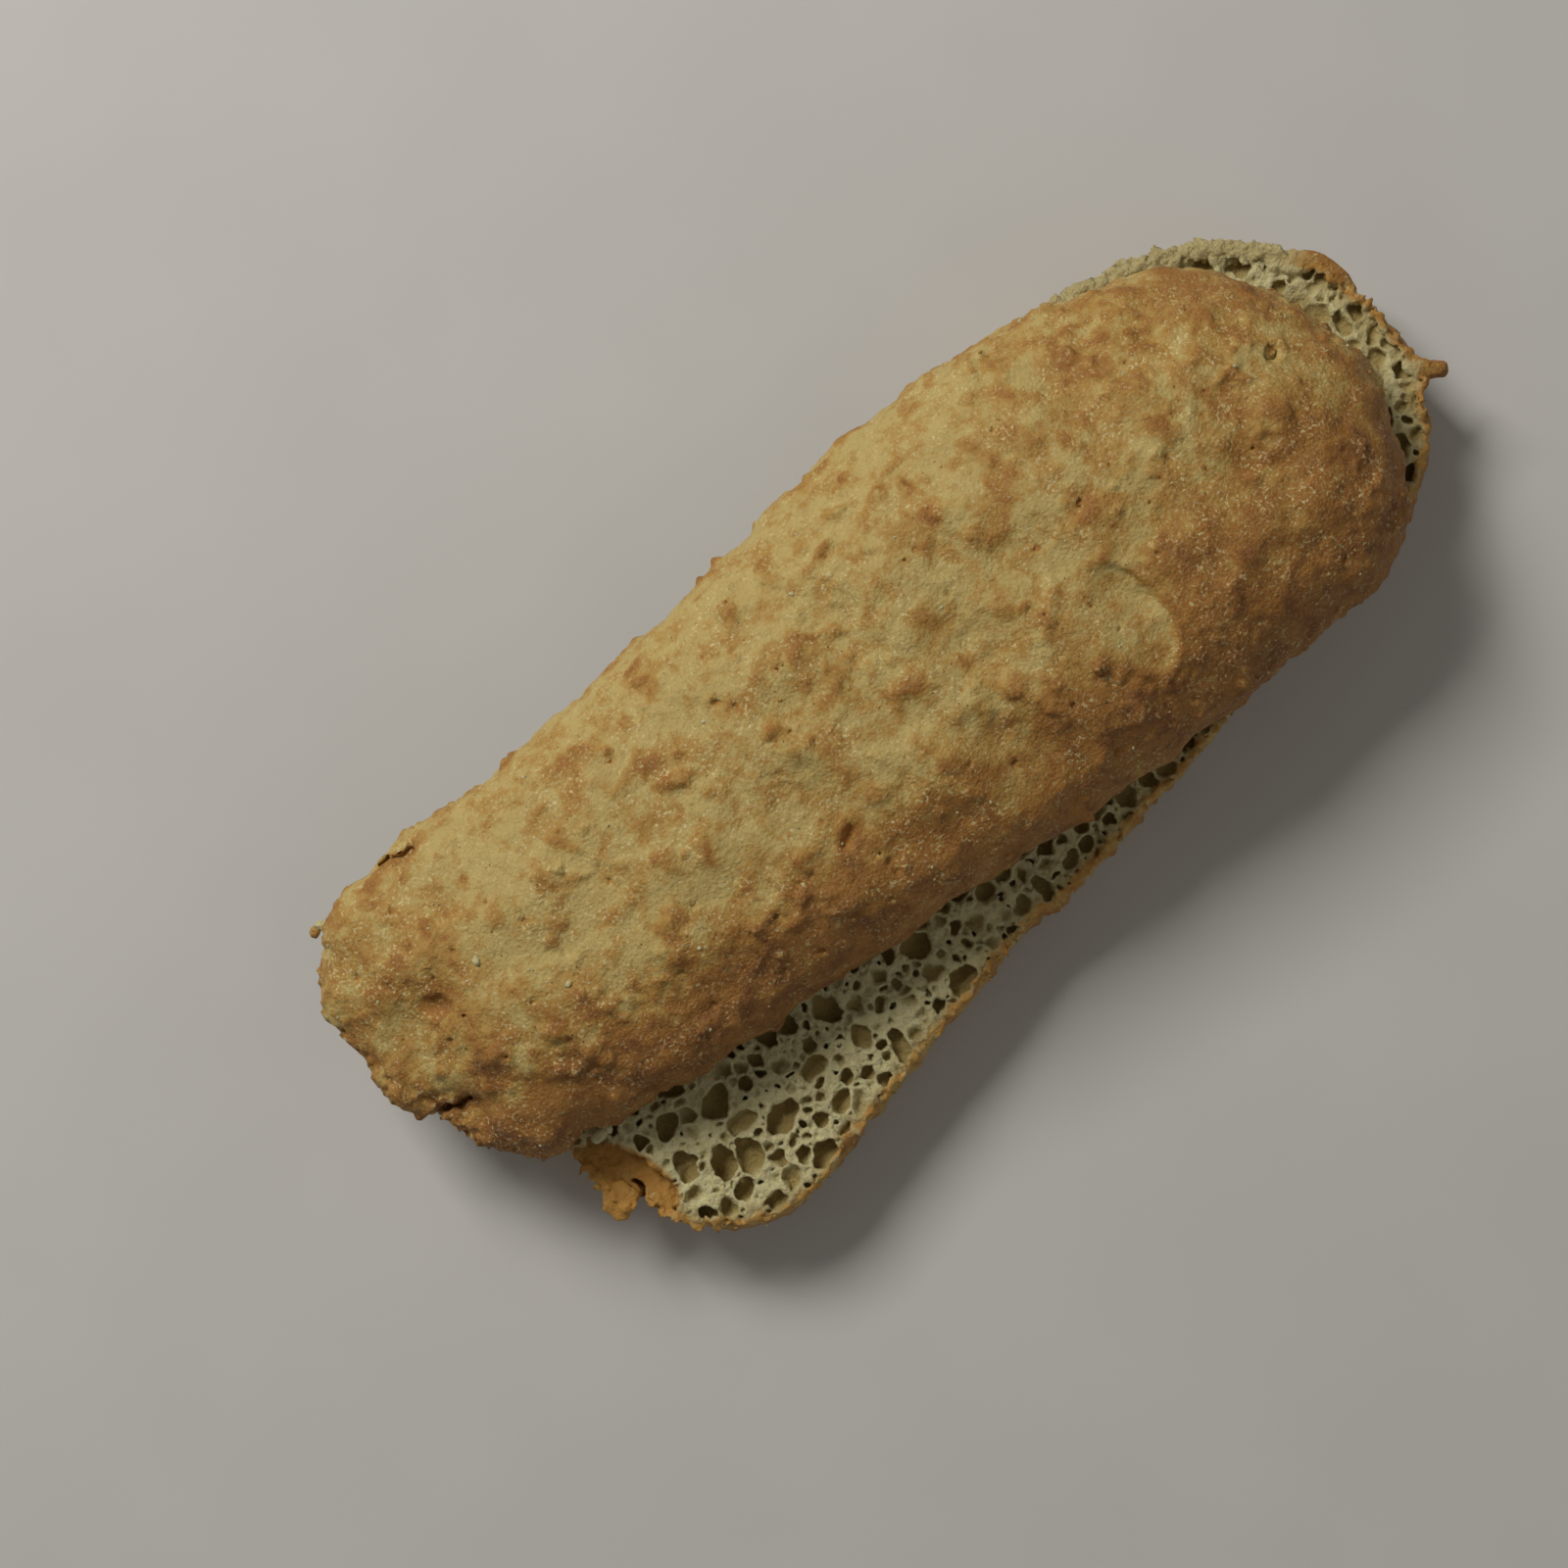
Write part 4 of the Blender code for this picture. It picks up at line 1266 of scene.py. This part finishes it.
PALE = (0.55, 0.415, 0.142)
GOLD = (0.46, 0.262, 0.056)
TAN = (0.36, 0.155, 0.025)
RUSSET = (0.21, 0.072, 0.012)
AMBER = (0.54, 0.275, 0.055)
FLOUR = (0.74, 0.62, 0.31)
CRUMB_PALE = (0.88, 0.87, 0.56)
CRUMB = (0.73, 0.68, 0.35)
# Darker golden crumb: the real tone of crumb next to the crust, and painted shade in the deeper
# cells.
CRUMB_GOLD_AND_SHADE = (0.48, 0.36, 0.13)
CRUMB_WARM = (0.97, 0.87, 0.46)
# Near-black painted shade of tiny pores.
PORE_SHADE = (0.12, 0.05, 0.015)


def bread_material(name):
    """Baked crust that turns into pale crumb where the point colours say so."""
    n = Nodes(name)
    crumb, brown, flour = n.channels("bread")
    deep, near_crust, amber = n.channels("inside")
    blotch = n.times(n.centred(6.0, 4.0, 0.6, 0.5), 2.3)
    mottle = n.times(n.centred(2.2, 5.0, 0.7, 0.4), 1.5)
    # The brown channel carries real browning together with painted shade on the top crust's flank
    # away from the key light and in its small pits.
    browned = n.plus(brown, n.plus(blotch, mottle))
    crust = n.mix(n.ramp(browned, -0.15, 0.45), PALE, GOLD)
    crust = n.mix(n.ramp(browned, 0.35, 0.9), crust, TAN)
    crust = n.mix(n.ramp(browned, 0.9, 1.8), crust, RUSSET)
    dark = n.ramp(n.noise(0.7, 2.0, 0.6), 0.46, 0.28)
    crust = n.mix(n.times(dark, 0.22), crust, RUSSET)
    cluster = n.ramp(n.noise(5.0, 3.0, 0.6), 0.40, 0.62)
    dusted = n.plus(n.times(flour, 0.5), n.times(cluster, 0.6))
    fine = n.ramp(n.noise(0.45, 2.0, 0.6), 0.40, 0.62)
    crust = n.mix(n.times(fine, 0.1), crust, FLOUR)
    speck = n.ramp(n.noise(0.75, 3.0, 0.65), 0.54, 0.66)
    crust = n.mix(n.times(speck, dusted), crust, FLOUR)
    line = n.math("ABSOLUTE", n.centred(13.0, 1.5, 0.4, 0.4))
    broken = n.times(n.ramp(n.noise(5.0, 1.0), 0.54, 0.62), n.ramp(n.noise(0.9, 2.0), 0.44, 0.56))
    crackle = n.times(n.ramp(line, 0.007, 0.002), n.times(broken, 0.45))
    crust = n.mix(crackle, crust, FLOUR)
    # Painted shade: tiny dark dots stand in for the shade inside pores that the mesh doesn't have.
    painted_pore_shade = n.ramp(n.cells(2.3), 0.11, 0.04)
    crust = n.mix(n.times(painted_pore_shade, n.ramp(n.noise(9.0, 2.0), 0.48, 0.6)), crust, PORE_SHADE)
    clear = n.times(amber, n.ramp(n.noise(3.2, 4.0, 0.65), 0.30, 0.56))
    crust = n.mix(clear, crust, AMBER)
    shade = n.ramp(n.noise(1.6, 4.0, 0.65), 0.30, 0.62)
    inner = n.mix(shade, CRUMB, CRUMB_PALE)
    inner = n.mix(n.times(amber, 0.75), inner, CRUMB_WARM)
    # Painted shade: crumb lying deeper below the cut is mixed towards the darker crumb colour.
    inner = n.mix(deep, inner, CRUMB_GOLD_AND_SHADE)
    inner = n.mix(n.times(near_crust, 0.6), inner, CRUMB_GOLD_AND_SHADE)
    wrinkle = n.bump(n.noise(2.6, 4.0, 0.6, 0.3), 0.45, 0.3)
    coarse = n.times(n.noise(0.8, 4.0, 0.68), n.plus(n.times(crumb, 1.8), 1.0))
    grain = n.bump(coarse, 0.45, 0.95, wrinkle)
    return n.surface(
        ("Base Color", n.mix(crumb, crust, inner)),
        ("Normal", n.bump(n.cells(0.8), 0.2, 0.6, grain)),
        ("Subsurface Weight", 0.14), ("Subsurface Radius", (1.0, 0.5, 0.2)),
        ("Subsurface Scale", 1.4 * MM), ("Roughness", 0.62), ("Specular IOR Level", 0.35),
    )


FLOOR_HALF = 3.0
FLOOR_TONES = (0.60, 0.595, 0.58), (0.62, 0.615, 0.60)


def floor_material():
    n = Nodes("studio_floor")
    tone = n.mix(n.ramp(n.noise(60.0, 2.0), 0.3, 0.7), *FLOOR_TONES)
    return n.surface(("Base Color", tone), ("Roughness", 0.9))


# ---- the scene


def make_floor():
    mesh = bpy.data.meshes.new("floor")
    corners = [(FLOOR_HALF * x, FLOOR_HALF * y, 0) for x, y in ((-1, -1), (1, -1), (1, 1), (-1, 1))]
    mesh.from_pydata(corners, [], [(0, 1, 2, 3)])
    mesh.materials.append(floor_material())
    floor = placed("floor", mesh)


LENS, SENSOR = 50, 24
CAMERA_HEIGHT = 0.667
VIEW_TURN = radians(-49.2)
VIEW_CENTRE = (-0.025959, 0.005555)  # plan point under the camera


def make_camera():
    data = bpy.data.cameras.new("camera")
    data.lens, data.sensor_width = LENS, SENSOR
    data.clip_end = 20
    camera = placed("camera", data)
    camera.location = (*VIEW_CENTRE, CAMERA_HEIGHT)
    camera.rotation_euler = (0, 0, VIEW_TURN)
    bpy.context.scene.camera = camera


def area_light(name, right, up, height, size, power, colour):
    """A square light aimed at the loaf, from a place in the picture's directions."""
    data = bpy.data.lights.new(name, "AREA")
    data.shape, data.size = "SQUARE", size
    data.energy, data.color = power, colour
    light = placed(name, data)
    where = Vector((*rotated(right, up, -VIEW_TURN), height))
    light.location = where
    light.rotation_euler = (-where).to_track_quat("-Z", "Y").to_euler()


# Name, place right and up in the picture, height, size, power, colour.
LIGHTS = (
    ("key", -0.7, 0.7, 1.0, 0.5, 13.4, (1.0, 0.965, 0.91)),
    ("fill", 0.9, -0.5, 0.9, 1.2, 1.2, (1.0, 0.94, 0.85)),
)
SKY, SKY_STRENGTH = (1.0, 0.95, 0.88, 1.0), 0.13


def make_light():
    for light in LIGHTS:
        area_light(*light)
    world = bpy.data.worlds.new("studio")
    world.use_nodes = True
    background = world.node_tree.nodes["Background"]
    background.inputs["Color"].default_value = SKY
    background.inputs["Strength"].default_value = SKY_STRENGTH
    bpy.context.scene.world = world
    bpy.context.scene.view_settings.view_transform = "Standard"


def main():
    top = half_loaf("loaf_upper", top_field(), 1, 101)
    top.data.materials.append(bread_material("upper_bread"))
    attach(top, "root")
    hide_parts("loaf_top")
    bottom = half_loaf("loaf_lower", bottom_field(), -1, 141)
    bottom.data.materials.append(bread_material("lower_bread"))
    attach(bottom, "root")
    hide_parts("loaf_bottom")
    crumbs = loose_crumbs(top)
    crumbs.data.materials.append(bread_material("crumb_bits"))
    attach(crumbs, "root")
    make_floor()
    make_camera()
    make_light()


main()
